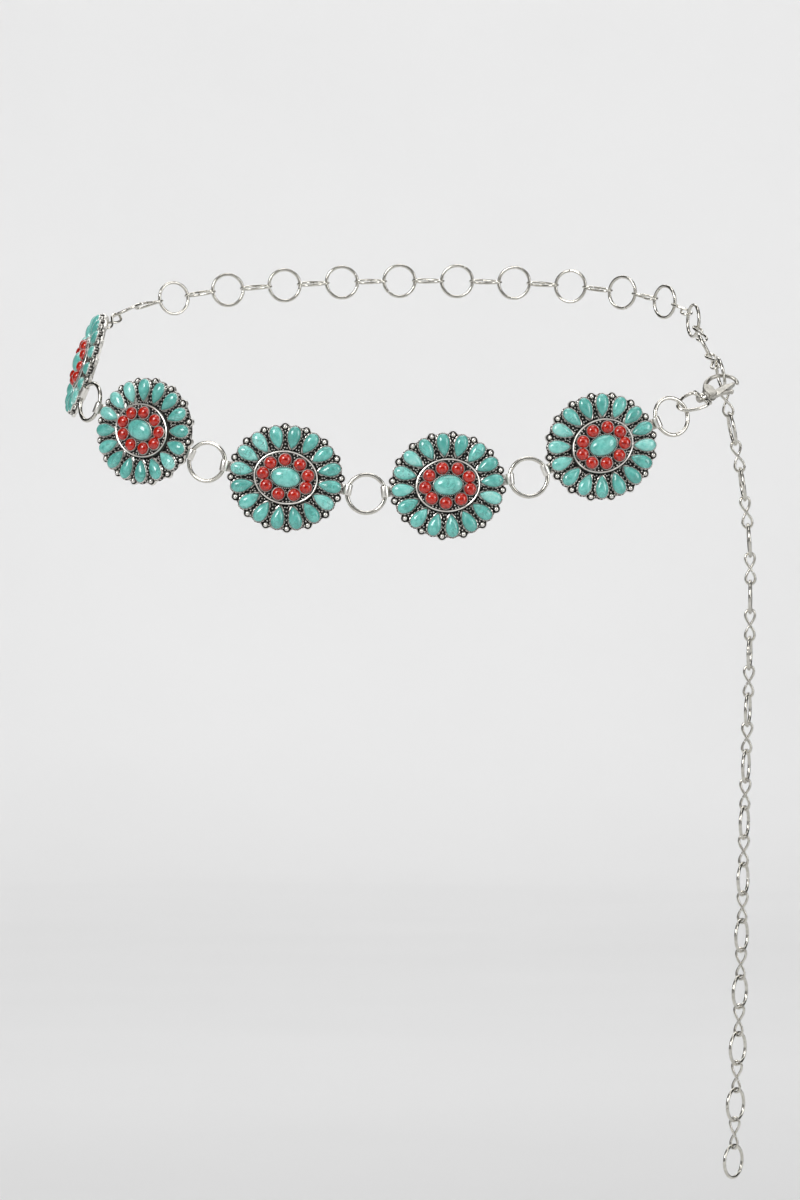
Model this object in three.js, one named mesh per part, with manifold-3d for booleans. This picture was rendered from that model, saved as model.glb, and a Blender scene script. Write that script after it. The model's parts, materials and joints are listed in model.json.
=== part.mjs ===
// A concho belt as it hangs round a hip: five stone-set conchos on link rings, a snap hook,
// and one chain of rings and figure-eight links that goes round the back and hangs down free.
// Millimetres, +Z up, the wearer's front towards -Y, the origin in the middle of the waist.
import * as THREE from 'three';
import { mergeVertices } from 'three/addons/utils/BufferGeometryUtils.js';
import Module from 'manifold-3d';

const wasm = await Module();
wasm.setup();

// Clearances between pieces that touch or pass through each other
const GAP = 0.3;
const FUSE = 0.5;
const FUSE_TOLERANCE = 0.04;

// Concho
const CONCHO_COUNT = 5;
const CONCHO_HALF_LENGTH = 27.0;
const CONCHO_HALF_HEIGHT = 25.0;
const PLATE_THICKNESS = 1.4;
const PLATE_MARGIN = 0.35;

// Petals: pear-shaped turquoise stones in a ring
const PETAL_COUNT = 16;
const PETAL_LENGTH = 11.4;
const PETAL_WIDTH = 6.8;
const PETAL_EDGE_HEIGHT = 3.4;
const PETAL_TOP_HEIGHT = 5.9;
const PETAL_TAPER = 0.45;
const PETAL_SIDES = 6;

// Raised oval floor with its rope edge
const OVAL_HALF_LENGTH = 15.3;
const OVAL_HALF_HEIGHT = 12.7;
const OVAL_FLOOR_HEIGHT = 4.2;
const ROPE_WIDTH = 0.9;
const ROPE_HEIGHT = 0.8;

// Red cabochons round the centre stone
const RED_COUNT = 9;
const RED_RADIUS = 2.85;
const RED_RING_HALF_LENGTH = 11.0;
const RED_RING_HALF_HEIGHT = 8.4;
const RED_EDGE_HEIGHT = 5.9;
const RED_TOP_HEIGHT = 7.5;

// Centre stone, seated in a pocket of the floor
const STONE_HALF_LENGTH = 6.9;
const STONE_HALF_HEIGHT = 4.75;
const STONE_GIRDLE_HEIGHT = 6.6;
const STONE_TOP_HEIGHT = 9.2;
const POCKET_DEPTH = 0.8;

// Tabs: metal strips folded round the link rings
const TAB_WIDTH = 5.0;
const TAB_WALL = 0.4;
const TAB_BORE = 1.75;
const TAB_REACH = 30;

// Link rings between the conchos
const LINK_RING_RADIUS = 9.1;
const LINK_RING_WIRE = 1.0;

// Chain of rings and figure-eight links
const CHAIN_RING_RADIUS = 7.8;
const CHAIN_RING_WIRE = 0.8;
const EIGHT_LENGTH = 16.5;
const EIGHT_WIDTH = 5.8;
const EIGHT_WIRE = 0.65;
const EIGHT_CROSS_GAP = 0.15;
const EIGHT_STEPS = 10;
const DROP_PAIRS = 14;

// Snap hook, measured from the foot of its hook along its axis
const EYE_WIRE = 0.85;
const EYE_SLACK = 0.95;
const EYE_DEPTH = 14.6;
const EYE_HALF_WIDTH = 6.0;
const EYE_BOSS_RADIUS = 2.1;
const EYE_BOSS_LENGTH = 2.6;
const POST_RADIUS = 0.95;
const POST_HEAD_RADIUS = 1.9;
const POST_HEAD_LENGTH = 1.3;
const COLLAR_RADIUS = 2.1;
const COLLAR_LENGTH = 1.3;
const HOOK_LENGTH = 20.4;
const HOOK_SPREAD = 9.5;
const HOOK_WIRE = 0.95;
const HOOK_THICKNESS = 4.4;
const GATE_THICKNESS = 1.7;
const PIN_RADIUS = 0.6;
const HINGE_ALONG = 2.4;
const HINGE_ACROSS = -1.4;
const CLASP_RISE = 25.5;
const CLASP_YAW = 31;
const CLASP_ROLL = 40;
const EYE_TWIST = -9;
const EYE_SEAT_TURN = 17;
const GATE_OPEN = 11;

// The hip that the belt goes round
const HIP_HALF_WIDTH = 156;
const FRONT_DEPTH = 62;
const BACK_DEPTH = 118;
const BELT_TILT = 55;

// The belt's route, chosen points in one place: shares of the hip's width, depth and tilt
const FRONT_ROUTE = [
  { across: -0.969, depth: 0.887, rise: 0.445 },
  { across: -0.976, depth: -0.226, rise: -0.227 },
  { across: -0.601, depth: -0.919, rise: -0.787 },
  { across: -0.117, depth: -1.0, rise: -1.065 },
  { across: 0.376, depth: -0.919, rise: -0.924 },
  { across: 0.824, depth: -0.597, rise: -0.38 },
];
const BACK_ROUTE = [
  { across: -0.86, depth: 0.72, rise: 0.66 },
  { across: -0.62, depth: 0.9, rise: 0.82 },
  { across: 0, depth: 1.0, rise: 0.93 },
  { across: 0.62, depth: 0.84, rise: 0.84 },
  { across: 0.88, depth: 0.48, rise: 0.62 },
];
const CONCHO_LEAN = [20, 7, 1, 2, 5];
const FIXED_RING = 2;

// Where along the bow the hooked ring is held, and which way the hook sits off its middle
const HELD_SHARE = 0.66;
const HOOK_PULL = [0, 1, 0.26];

// The free end's route below the hooked ring, and how its rings turn on the way down
const DROP_ROUTE = [
  [0, 0, 0],
  [8.4, 0, -40],
  [13.8, 0, -80],
  [14.3, 0, -120],
  [11.8, 0, -208],
  [9.8, 0, -287],
  [6.6, 0, -371],
];
const LAST_RING_YAW = 54;

// Finishes
const silver = { color: 0xc9c5ba, metalness: 1.0, roughness: 0.28 };
const antiqueSilver = { color: 0x9d998e, metalness: 0.9, roughness: 0.42 };
const turquoise = { color: 0x6ac8ba, metalness: 0.0, roughness: 0.25 };

const UP = new THREE.Vector3(0, 0, 1);
const belt = new THREE.Group();
const radians = THREE.MathUtils.degToRad;

// Adds a named mesh to a group with a finish of its own
function addMesh(group, name, geometry, finish) {
  const mesh = new THREE.Mesh(geometry, new THREE.MeshStandardMaterial(finish));
  mesh.name = name;
  group.add(mesh);
  return mesh;
}

// A group whose local x and z axes point along the two directions given
function placedGroup(origin, along, outward) {
  const x = along.clone().normalize();
  const y = outward.clone().cross(x).normalize();
  const z = x.clone().cross(y);
  const group = new THREE.Group();
  group.quaternion.setFromRotationMatrix(new THREE.Matrix4().makeBasis(x, y, z));
  group.position.copy(origin);
  belt.add(group);
  return group;
}

// A closed geometry as a solid that can be joined and cut
function toSolid(geometry) {
  const bare = geometry.index ? geometry.toNonIndexed() : geometry.clone();
  bare.deleteAttribute('normal');
  bare.deleteAttribute('uv');
  const merged = mergeVertices(bare, 1e-4);
  return new wasm.Manifold(new wasm.Mesh({
    numProp: 3,
    vertProperties: new Float32Array(merged.attributes.position.array),
    triVerts: new Uint32Array(merged.index.array),
  }));
}

// A solid back as a geometry
function toGeometry(solid) {
  const mesh = solid.getMesh();
  const geometry = new THREE.BufferGeometry();
  geometry.setAttribute('position', new THREE.BufferAttribute(mesh.vertProperties, 3));
  geometry.setIndex(new THREE.BufferAttribute(mesh.triVerts, 1));
  geometry.computeVertexNormals();
  return geometry;
}

const joined = (solids) => solids.reduce((whole, next) => whole.add(next));

// A closed body through outlines of equal length, stacked from the lowest to the highest
function stacked(outlines) {
  const count = outlines[0].length;
  const index = [];
  for (let level = 0; level < outlines.length - 1; level++) {
    for (let i = 0; i < count; i++) {
      const a = level * count + i;
      const b = level * count + (i + 1) % count;
      index.push(a, b, b + count, a, b + count, a + count);
    }
  }
  const last = (outlines.length - 1) * count;
  for (let i = 1; i < count - 1; i++) {
    index.push(0, i + 1, i);
    index.push(last, last + i, last + i + 1);
  }
  const points = outlines.flat().flatMap((point) => [point.x, point.y, point.z]);
  const geometry = new THREE.BufferGeometry();
  geometry.setAttribute('position', new THREE.Float32BufferAttribute(points, 3));
  geometry.setIndex(index);
  return geometry;
}

// Points of an oval at a height, optionally moved off the centre
function oval(halfLength, halfHeight, sides, height, centre = new THREE.Vector2()) {
  return Array.from({ length: sides }, (_, i) => {
    const turn = (i * 2 * Math.PI) / sides;
    return new THREE.Vector3(
      centre.x + halfLength * Math.cos(turn), centre.y + halfHeight * Math.sin(turn), height);
  });
}

// Points of a pear with its round end away from the concho's centre, shrunk by an inset
function pear(inner, outer, width, inset, height) {
  const axis = outer.clone().sub(inner).normalize();
  const side = new THREE.Vector2(-axis.y, axis.x);
  const middle = inner.clone().add(outer).multiplyScalar(0.5);
  const halfLength = inner.distanceTo(outer) / 2 - inset;
  return Array.from({ length: PETAL_SIDES }, (_, i) => {
    const turn = (i * 2 * Math.PI) / PETAL_SIDES;
    const belly = (1 + PETAL_TAPER * Math.cos(turn)) / (1 + PETAL_TAPER * PETAL_TAPER / 2);
    const halfWidth = (width / 2 - inset) * Math.sin(turn) * belly;
    const point = middle.clone()
      .addScaledVector(axis, halfLength * Math.cos(turn))
      .addScaledVector(side, halfWidth);
    return new THREE.Vector3(point.x, point.y, height);
  });
}

// The flat back plate, a little wider than the ring of petals
function plate() {
  const length = CONCHO_HALF_LENGTH + PLATE_MARGIN;
  const height = CONCHO_HALF_HEIGHT + PLATE_MARGIN;
  const sides = 2 * PETAL_COUNT;
  return stacked([oval(length, height, sides, 0), oval(length, height, sides, PLATE_THICKNESS)]);
}

// Petals stand on the plate, highest along their middle
function petal(number) {
  const turn = (number * 2 * Math.PI) / PETAL_COUNT;
  const outer = new THREE.Vector2(
    CONCHO_HALF_LENGTH * Math.cos(turn), CONCHO_HALF_HEIGHT * Math.sin(turn));
  const inner = outer.clone().setLength(outer.length() - PETAL_LENGTH);
  const foot = PLATE_THICKNESS / 2;
  return stacked([
    pear(inner, outer, PETAL_WIDTH, 0, foot),
    pear(inner, outer, PETAL_WIDTH, 0, PETAL_EDGE_HEIGHT),
    pear(inner, outer, PETAL_WIDTH, PETAL_WIDTH * 0.28, PETAL_TOP_HEIGHT),
  ]);
}

// The raised oval floor inside its rope edge
function ovalFloor() {
  const sides = 20;
  const rope = OVAL_FLOOR_HEIGHT + ROPE_HEIGHT;
  const innerLength = OVAL_HALF_LENGTH - ROPE_WIDTH;
  const innerHeight = OVAL_HALF_HEIGHT - ROPE_WIDTH;
  return stacked([
    oval(OVAL_HALF_LENGTH, OVAL_HALF_HEIGHT, sides, PLATE_THICKNESS / 2),
    oval(OVAL_HALF_LENGTH, OVAL_HALF_HEIGHT, sides, rope),
    oval(innerLength, innerHeight, sides, rope),
    oval(innerLength, innerHeight, sides, OVAL_FLOOR_HEIGHT),
  ]);
}

// Red cabochons, the first one at the left end of the oval
function redStone(number) {
  const turn = Math.PI - (number * 2 * Math.PI) / RED_COUNT;
  const centre = new THREE.Vector2(
    RED_RING_HALF_LENGTH * Math.cos(turn), RED_RING_HALF_HEIGHT * Math.sin(turn));
  const sides = 6;
  return stacked([
    oval(RED_RADIUS, RED_RADIUS, sides, PLATE_THICKNESS, centre),
    oval(RED_RADIUS, RED_RADIUS, sides, RED_EDGE_HEIGHT, centre),
    oval(RED_RADIUS * 0.5, RED_RADIUS * 0.5, sides, RED_TOP_HEIGHT, centre),
  ]);
}

// The strip that leaves the plate flush with its back and folds round a ring
function tab(side) {
  const roundSides = 8;
  const outer = TAB_BORE + TAB_WALL;
  const shape = new THREE.Shape();
  for (let i = 0; i < roundSides; i++) {
    const turn = (i * 2 * Math.PI) / roundSides - Math.PI / 2;
    const reach = outer / Math.cos(Math.PI / roundSides / 2);
    const place = [TAB_REACH + reach * Math.cos(turn), outer + outer * Math.sin(turn)];
    if (i === 0) shape.moveTo(...place);
    else shape.lineTo(...place);
  }
  const hole = new THREE.Path();
  for (let i = 0; i < roundSides; i++) {
    const turn = (i * 2 * Math.PI) / roundSides;
    const reach = TAB_BORE / Math.cos(Math.PI / roundSides);
    const place = [TAB_REACH + reach * Math.cos(turn), outer + reach * Math.sin(turn)];
    if (i === 0) hole.moveTo(...place);
    else hole.lineTo(...place);
  }
  shape.holes.push(hole);
  const loop = new THREE.ExtrudeGeometry(shape, { depth: TAB_WIDTH, bevelEnabled: false });
  loop.rotateX(Math.PI / 2);
  loop.translate(0, TAB_WIDTH / 2, 0);
  const footLength = TAB_REACH - CONCHO_HALF_LENGTH + 3;
  const foot = new THREE.BoxGeometry(footLength, TAB_WIDTH, TAB_WALL);
  foot.translate(TAB_REACH - footLength / 2, 0, TAB_WALL / 2);
  const whole = toSolid(loop).add(toSolid(foot));
  return side > 0 ? whole : whole.rotate([0, 0, 180]);
}

// A pocket for the centre stone
function pocket() {
  const sides = 14;
  const length = STONE_HALF_LENGTH + GAP;
  const height = STONE_HALF_HEIGHT + GAP;
  return stacked([
    oval(length, height, sides, OVAL_FLOOR_HEIGHT - POCKET_DEPTH),
    oval(length, height, sides, RED_TOP_HEIGHT + POCKET_DEPTH),
  ]);
}

function conchoSetting() {
  const numbered = (count, make) => Array.from({ length: count }, (_, i) => toSolid(make(i)));
  const raised = joined([
    toSolid(plate()),
    toSolid(ovalFloor()),
    ...numbered(PETAL_COUNT, petal),
    ...numbered(RED_COUNT, redStone),
    tab(-1),
    tab(1),
  ]);
  return toGeometry(raised.subtract(toSolid(pocket())));
}

function centreStone() {
  const sides = 12;
  const crown = STONE_TOP_HEIGHT - STONE_GIRDLE_HEIGHT;
  return stacked([
    oval(STONE_HALF_LENGTH, STONE_HALF_HEIGHT, sides, OVAL_FLOOR_HEIGHT - POCKET_DEPTH + GAP),
    oval(STONE_HALF_LENGTH, STONE_HALF_HEIGHT, sides, STONE_GIRDLE_HEIGHT),
    oval(STONE_HALF_LENGTH * 0.8, STONE_HALF_HEIGHT * 0.78, sides,
      STONE_GIRDLE_HEIGHT + crown * 0.7),
    oval(STONE_HALF_LENGTH * 0.4, STONE_HALF_HEIGHT * 0.36, sides, STONE_TOP_HEIGHT),
  ]);
}

// A wire ring; the link rings have a straight side, not a corner, where a tab holds them
function linkRing() {
  const sides = 12;
  const ring = new THREE.TorusGeometry(LINK_RING_RADIUS, LINK_RING_WIRE, 5, sides);
  ring.rotateZ(Math.PI / sides);
  return ring;
}

const chainRing = () => new THREE.TorusGeometry(CHAIN_RING_RADIUS, CHAIN_RING_WIRE, 5, 10);

// A figure-eight link along x: one closed wire whose strands cross over and under.
// Its steps are even turns with a straight one at each end, where a ring pulls
class FigureEight extends THREE.Curve {
  getPoint(t) {
    const turn = 2 * Math.PI * t + Math.PI / EIGHT_STEPS;
    const halfLength = (EIGHT_LENGTH / 2 - EIGHT_WIRE) / Math.cos(Math.PI / EIGHT_STEPS);
    const halfWidth = EIGHT_WIDTH / 2 - EIGHT_WIRE;
    const lift = EIGHT_WIRE + EIGHT_CROSS_GAP / 2;
    return new THREE.Vector3(
      halfLength * Math.cos(turn), halfWidth * Math.sin(2 * turn), lift * Math.sin(turn));
  }

  getPointAt(share) {
    return this.getPoint(share);
  }

  getTangentAt(share) {
    return this.getTangent(share);
  }
}

const eightLink = () => new THREE.TubeGeometry(
  new FigureEight(), EIGHT_STEPS, EIGHT_WIRE, 5, true);

// A point at a distance along a curve, which goes on straight past both ends
function pointAt(curve, distance) {
  const length = curve.getLength();
  const share = THREE.MathUtils.clamp(distance / length, 0, 1);
  const past = distance - share * length;
  return curve.getPointAt(share).addScaledVector(curve.getTangentAt(share), past);
}

// The distance along a curve of the next point that lies one chord further on
function stepAlong(curve, from, chord) {
  const start = pointAt(curve, from);
  let near = from + chord * 0.9;
  let far = from + chord * 1.6;
  for (let round = 0; round < 40; round++) {
    const middle = (near + far) / 2;
    if (pointAt(curve, middle).distanceTo(start) < chord) near = middle;
    else far = middle;
  }
  return (near + far) / 2;
}

function smoothCurve(points) {
  const curve = new THREE.CatmullRomCurve3(points, false, 'centripetal');
  curve.arcLengthDivisions = 800;
  return curve;
}

const routePoint = (row, depth) => new THREE.Vector3(
  row.across * HIP_HALF_WIDTH, row.depth * depth, row.rise * BELT_TILT);

// The direction that faces away from the hip, square to the run of the belt, tipped up by a lean
function outwardFrom(along, lean = 0) {
  const level = along.clone().cross(UP).normalize();
  return level.applyAxisAngle(along.clone().normalize(), radians(-lean));
}

// Snap hook directions: its axis, the side its bow is on, and the loop's normal
const rise = radians(CLASP_RISE);
const yaw = radians(CLASP_YAW);
const claspAxis = new THREE.Vector3(
  Math.cos(yaw) * Math.cos(rise), Math.sin(yaw), Math.cos(yaw) * Math.sin(rise));
const farSide = new THREE.Vector3(-claspAxis.y, claspAxis.x, 0).normalize();
const bowSide = farSide.clone().applyAxisAngle(claspAxis, radians(CLASP_ROLL));
const loopNormal = claspAxis.clone().cross(bowSide);

// Where a folded tab holds a ring: the wire bows away from a straight bore, so half of that
// bow is taken off
const ringSeat = LINK_RING_RADIUS - (TAB_WIDTH / 2) ** 2 / (4 * LINK_RING_RADIUS);
const conchoChord = 2 * TAB_REACH;

const frontCurve = smoothCurve(FRONT_ROUTE.map((row) => routePoint(row, FRONT_DEPTH)));

// The six link rings: centres on the front route, so far apart that each concho just fits, and
// each ring as upright as the conchos beside it. The two end rings lie along what pulls on them
function ringsAt(distances) {
  const centres = distances.map((distance) => pointAt(frontCurve, distance));
  const before = routePoint(BACK_ROUTE[0], BACK_DEPTH);
  const after = centres[CONCHO_COUNT].clone().addScaledVector(claspAxis, conchoChord);
  const all = [before, ...centres, after];
  const uprights = CONCHO_LEAN.map((lean, i) => {
    const run = centres[i + 1].clone().sub(centres[i]).normalize();
    return outwardFrom(run, lean).cross(run);
  });
  return centres.map((centre, i) => {
    const from = i === CONCHO_COUNT ? centre : all[i];
    const to = i === 0 ? centre : all[i + 2];
    const along = to.clone().sub(from).normalize();
    const upright = new THREE.Vector3();
    uprights.slice(Math.max(0, i - 1), i + 1).forEach((next) => upright.add(next));
    return { centre, along, outward: along.clone().cross(upright).normalize() };
  });
}

function seatTowards(ring, target) {
  const direction = target.clone().sub(ring.centre).projectOnPlane(ring.outward).normalize();
  return ring.centre.clone().addScaledVector(direction, ringSeat);
}

function settledRings() {
  const pitch = conchoChord + 2 * ringSeat;
  const fixedShare = frontCurve.getLengths()[Math.round(
    (800 * FIXED_RING) / (FRONT_ROUTE.length - 1))];
  const distances = Array.from(
    { length: CONCHO_COUNT + 1 }, (_, i) => fixedShare + (i - FIXED_RING) * pitch);
  for (let round = 0; round < 60; round++) {
    const rings = ringsAt(distances);
    const spare = (i) => conchoChord - seatTowards(rings[i], rings[i + 1].centre)
      .distanceTo(seatTowards(rings[i + 1], rings[i].centre));
    let shift = 0;
    for (let i = FIXED_RING; i < CONCHO_COUNT; i++) {
      shift += spare(i);
      distances[i + 1] += shift;
    }
    shift = 0;
    for (let i = FIXED_RING - 1; i >= 0; i--) {
      shift += spare(i);
      distances[i] -= shift;
    }
  }
  return ringsAt(distances);
}

const rings = settledRings();
rings.forEach((ring, i) => {
  const group = placedGroup(ring.centre, ring.along, ring.outward);
  addMesh(group, `link_ring_${i + 1}`, linkRing(), silver);
});

const settingGeometry = conchoSetting();
const stoneGeometry = centreStone();
for (let i = 0; i < CONCHO_COUNT; i++) {
  const left = seatTowards(rings[i], rings[i + 1].centre);
  const right = seatTowards(rings[i + 1], rings[i].centre);
  const along = right.clone().sub(left).normalize();
  const outward = outwardFrom(along, CONCHO_LEAN[i]);
  const back = left.clone().add(right).multiplyScalar(0.5)
    .addScaledVector(outward, -(TAB_BORE + TAB_WALL));
  const group = placedGroup(back, along, outward);
  addMesh(group, `concho_${i + 1}`, settingGeometry.clone(), antiqueSilver);
  addMesh(group, `centre_stone_${i + 1}`, stoneGeometry.clone(), turquoise);
}

// Snap hook. Its frame: x along the axis from the eye to the tip, y towards the bow
const lastRing = rings[CONCHO_COUNT];
const eyeDirection = claspAxis.clone().projectOnPlane(lastRing.outward).normalize()
  .applyAxisAngle(lastRing.outward, radians(EYE_SEAT_TURN));
const eyeTip = lastRing.centre.clone().addScaledVector(
  eyeDirection, LINK_RING_RADIUS - LINK_RING_WIRE - EYE_SLACK - EYE_WIRE);
const barAlong = -(COLLAR_LENGTH + GAP + EYE_BOSS_LENGTH / 2);
const hookFoot = eyeTip.clone().addScaledVector(claspAxis, EYE_DEPTH - barAlong);
const inHook = (along, across) => hookFoot.clone()
  .addScaledVector(claspAxis, along).addScaledVector(bowSide, across);

// The D-shaped eye: shares of its depth and half width, from the middle of its bar
const EYE_OUTLINE = [
  { back: 0, across: 0 },
  { back: 0, across: 0.6 },
  { back: 0.08, across: 0.93 },
  { back: 0.35, across: 1.0 },
  { back: 0.68, across: 0.8 },
  { back: 0.92, across: 0.42 },
  { back: 1.0, across: 0 },
];

function swivelEye() {
  const half = EYE_OUTLINE.map((row) => new THREE.Vector3(
    barAlong - row.back * EYE_DEPTH, row.across * EYE_HALF_WIDTH, 0));
  const mirrored = half.slice(1, -1).reverse()
    .map((point) => new THREE.Vector3(point.x, -point.y, 0));
  const path = new THREE.CatmullRomCurve3([...half, ...mirrored], true, 'centripetal');
  const wire = new THREE.TubeGeometry(path, 16, EYE_WIRE, 6, true);
  const boss = new THREE.CylinderGeometry(EYE_BOSS_RADIUS, EYE_BOSS_RADIUS, EYE_BOSS_LENGTH, 10);
  boss.rotateZ(Math.PI / 2);
  boss.translate(barAlong, 0, 0);
  const hole = new THREE.CylinderGeometry(
    POST_RADIUS + GAP, POST_RADIUS + GAP, EYE_BOSS_LENGTH * 2, 10);
  hole.rotateZ(Math.PI / 2);
  hole.translate(barAlong, 0, 0);
  return toGeometry(toSolid(wire).add(toSolid(boss)).subtract(toSolid(hole)));
}

// The post turns in the eye's boss, held by its head on one side and the collar on the other
function swivelPost() {
  const bossBack = barAlong - EYE_BOSS_LENGTH / 2 - GAP;
  const profile = [
    [0, bossBack - POST_HEAD_LENGTH],
    [POST_HEAD_RADIUS, bossBack - POST_HEAD_LENGTH],
    [POST_HEAD_RADIUS, bossBack],
    [POST_RADIUS, bossBack],
    [POST_RADIUS, -COLLAR_LENGTH],
    [COLLAR_RADIUS, -COLLAR_LENGTH],
    [COLLAR_RADIUS, 0.4],
    [0, 0.4],
  ].map(([radius, height]) => new THREE.Vector2(radius, height));
  const post = new THREE.LatheGeometry(profile, 10);
  post.rotateZ(-Math.PI / 2);
  return post;
}

// The bow: shares of the hook's length and spread
const BOW_OUTLINE = [
  { along: 0.06, across: 0.22 },
  { along: 0.15, across: 0.5 },
  { along: 0.34, across: 0.8 },
  { along: 0.58, across: 0.88 },
  { along: 0.76, across: 0.76 },
  { along: 0.89, across: 0.53 },
  { along: 0.953, across: 0.26 },
  { along: 0.95, across: 0.03 },
  { along: 0.915, across: -0.12 },
];
const bowCurve = new THREE.CatmullRomCurve3(BOW_OUTLINE.map((row) => new THREE.Vector3(
  row.along * HOOK_LENGTH, row.across * HOOK_SPREAD, 0)), false, 'centripetal');

function polygon(points) {
  const shape = new THREE.Shape();
  points.forEach(([x, y], i) => (i === 0 ? shape.moveTo(x, y) : shape.lineTo(x, y)));
  return shape;
}

function extruded(points, thickness) {
  const geometry = new THREE.ExtrudeGeometry(
    polygon(points), { depth: thickness, bevelEnabled: false });
  geometry.translate(0, 0, -thickness / 2);
  return geometry;
}

const KNUCKLE_RADIUS = 1.7;

function hookBody() {
  const bow = new THREE.ExtrudeGeometry(
    polygon(oval(HOOK_WIRE, HOOK_WIRE, 6, 0).map((point) => [point.x, point.y])),
    { steps: 13, extrudePath: bowCurve, bevelEnabled: false });
  const top = KNUCKLE_RADIUS + HINGE_ACROSS;
  const low = HINGE_ACROSS - KNUCKLE_RADIUS;
  const block = extruded([
    [-0.1, low + 0.6],
    [HINGE_ALONG, low],
    [HINGE_ALONG + KNUCKLE_RADIUS, low + 0.4],
    [HINGE_ALONG + KNUCKLE_RADIUS + 1.2, top + GAP + 1.6],
    [HINGE_ALONG + KNUCKLE_RADIUS, top + 4.2],
    [HINGE_ALONG, top + 5.2],
    [0.6, top + 3.4],
    [-0.1, top + 1.4],
  ], HOOK_THICKNESS);
  const slotStart = HINGE_ALONG - KNUCKLE_RADIUS - GAP;
  const slotTop = top + GAP;
  const swingRoom = (HOOK_LENGTH - HINGE_ALONG) * Math.tan(radians(GATE_OPEN + 2));
  const slot = extruded([
    [slotStart, low - 1],
    [HOOK_LENGTH, low - 1],
    [HOOK_LENGTH, slotTop + swingRoom],
    [HINGE_ALONG, slotTop],
    [slotStart, slotTop],
  ], GATE_THICKNESS + 2 * GAP);
  const pin = new THREE.CylinderGeometry(PIN_RADIUS, PIN_RADIUS, HOOK_THICKNESS - 0.2, 8);
  pin.rotateX(Math.PI / 2);
  pin.translate(HINGE_ALONG, HINGE_ACROSS, 0);
  const base = toSolid(block).subtract(toSolid(slot)).add(toSolid(pin));
  return toGeometry(joined([base, toSolid(bow), toSolid(swivelPost())]));
}

// The gate: a tapered bar on the pin with a thumb lever under it that ends in a knob
const LEVER_REACH = 12.4;
const LEVER_DROP = 4.3;
const KNOB_RADIUS = 0.95;

function hookGate() {
  const end = HOOK_LENGTH * 0.915 - HOOK_WIRE - 0.5;
  const top = HINGE_ACROSS + KNUCKLE_RADIUS;
  const low = HINGE_ACROSS - KNUCKLE_RADIUS;
  const start = HINGE_ALONG - KNUCKLE_RADIUS;
  const bar = extruded([
    [start, HINGE_ACROSS - 0.7],
    [HINGE_ALONG - 0.7, low],
    [HINGE_ALONG + 4, low],
    [end, top - 1.6],
    [end, top - 0.4],
    [HINGE_ALONG - 0.7, top],
    [start, HINGE_ACROSS + 0.7],
  ], GATE_THICKNESS);
  const lever = extruded([
    [HINGE_ALONG + 3.2, low],
    [LEVER_REACH, -LEVER_DROP - 0.4],
    [LEVER_REACH, -LEVER_DROP + 0.4],
    [HINGE_ALONG + 5, low + 0.9],
  ], GATE_THICKNESS);
  const knob = new THREE.CylinderGeometry(KNOB_RADIUS, KNOB_RADIUS, GATE_THICKNESS + 0.8, 8);
  knob.rotateX(Math.PI / 2);
  knob.translate(LEVER_REACH, -LEVER_DROP, 0);
  const bore = new THREE.CylinderGeometry(
    PIN_RADIUS + GAP, PIN_RADIUS + GAP, GATE_THICKNESS * 2, 8);
  bore.rotateX(Math.PI / 2);
  bore.translate(HINGE_ALONG, HINGE_ACROSS, 0);
  return toGeometry(
    joined([toSolid(bar), toSolid(lever), toSolid(knob)]).subtract(toSolid(bore)));
}

const claspGroup = placedGroup(hookFoot, claspAxis, loopNormal);
addMesh(claspGroup, 'clasp_hook', hookBody(), silver);
addMesh(claspGroup, 'clasp_gate', hookGate(), silver);
const eyeNormal = loopNormal.clone().applyAxisAngle(claspAxis, radians(EYE_TWIST));
const eyeGroup = placedGroup(hookFoot, claspAxis, eyeNormal);
addMesh(eyeGroup, 'swivel_eye', swivelEye(), silver);

// The chain ring in the hook: it lies in the plane of the free end's pull and the back's pull,
// and the bow passes through it near its front edge
const heldPoint = bowCurve.getPointAt(HELD_SHARE);
const heldTangent = bowCurve.getTangentAt(HELD_SHARE);
const heldPlace = inHook(heldPoint.x, heldPoint.y);
const bowTangent = claspAxis.clone().multiplyScalar(heldTangent.x)
  .addScaledVector(bowSide, heldTangent.y);
const dropPull = new THREE.Vector3(...DROP_ROUTE[1]).normalize();
const backPull = routePoint(BACK_ROUTE.at(-1), BACK_DEPTH).sub(heldPlace).normalize();
const hookedNormal = dropPull.clone().cross(backPull).normalize();
const hookPull = new THREE.Vector3(...HOOK_PULL).projectOnPlane(hookedNormal).normalize();
const hookedOffset = CHAIN_RING_RADIUS - CHAIN_RING_WIRE - 2 * GAP
  - HOOK_WIRE / Math.abs(bowTangent.dot(hookedNormal));
const hookedCentre = heldPlace.clone().addScaledVector(hookPull, hookedOffset);
addMesh(placedGroup(hookedCentre, dropPull, hookedNormal), 'hooked_ring', chainRing(), silver);

// Distances between the middles of neighbouring links, drawn taut
const tautStep = (radius, wire) => radius - wire + EIGHT_LENGTH / 2 - 2 * EIGHT_WIRE;
const chainStep = tautStep(CHAIN_RING_RADIUS, CHAIN_RING_WIRE) - GAP;
const fusedStep = chainStep + GAP + FUSE;
const linkRingStep = tautStep(LINK_RING_RADIUS, LINK_RING_WIRE) - GAP;

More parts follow.
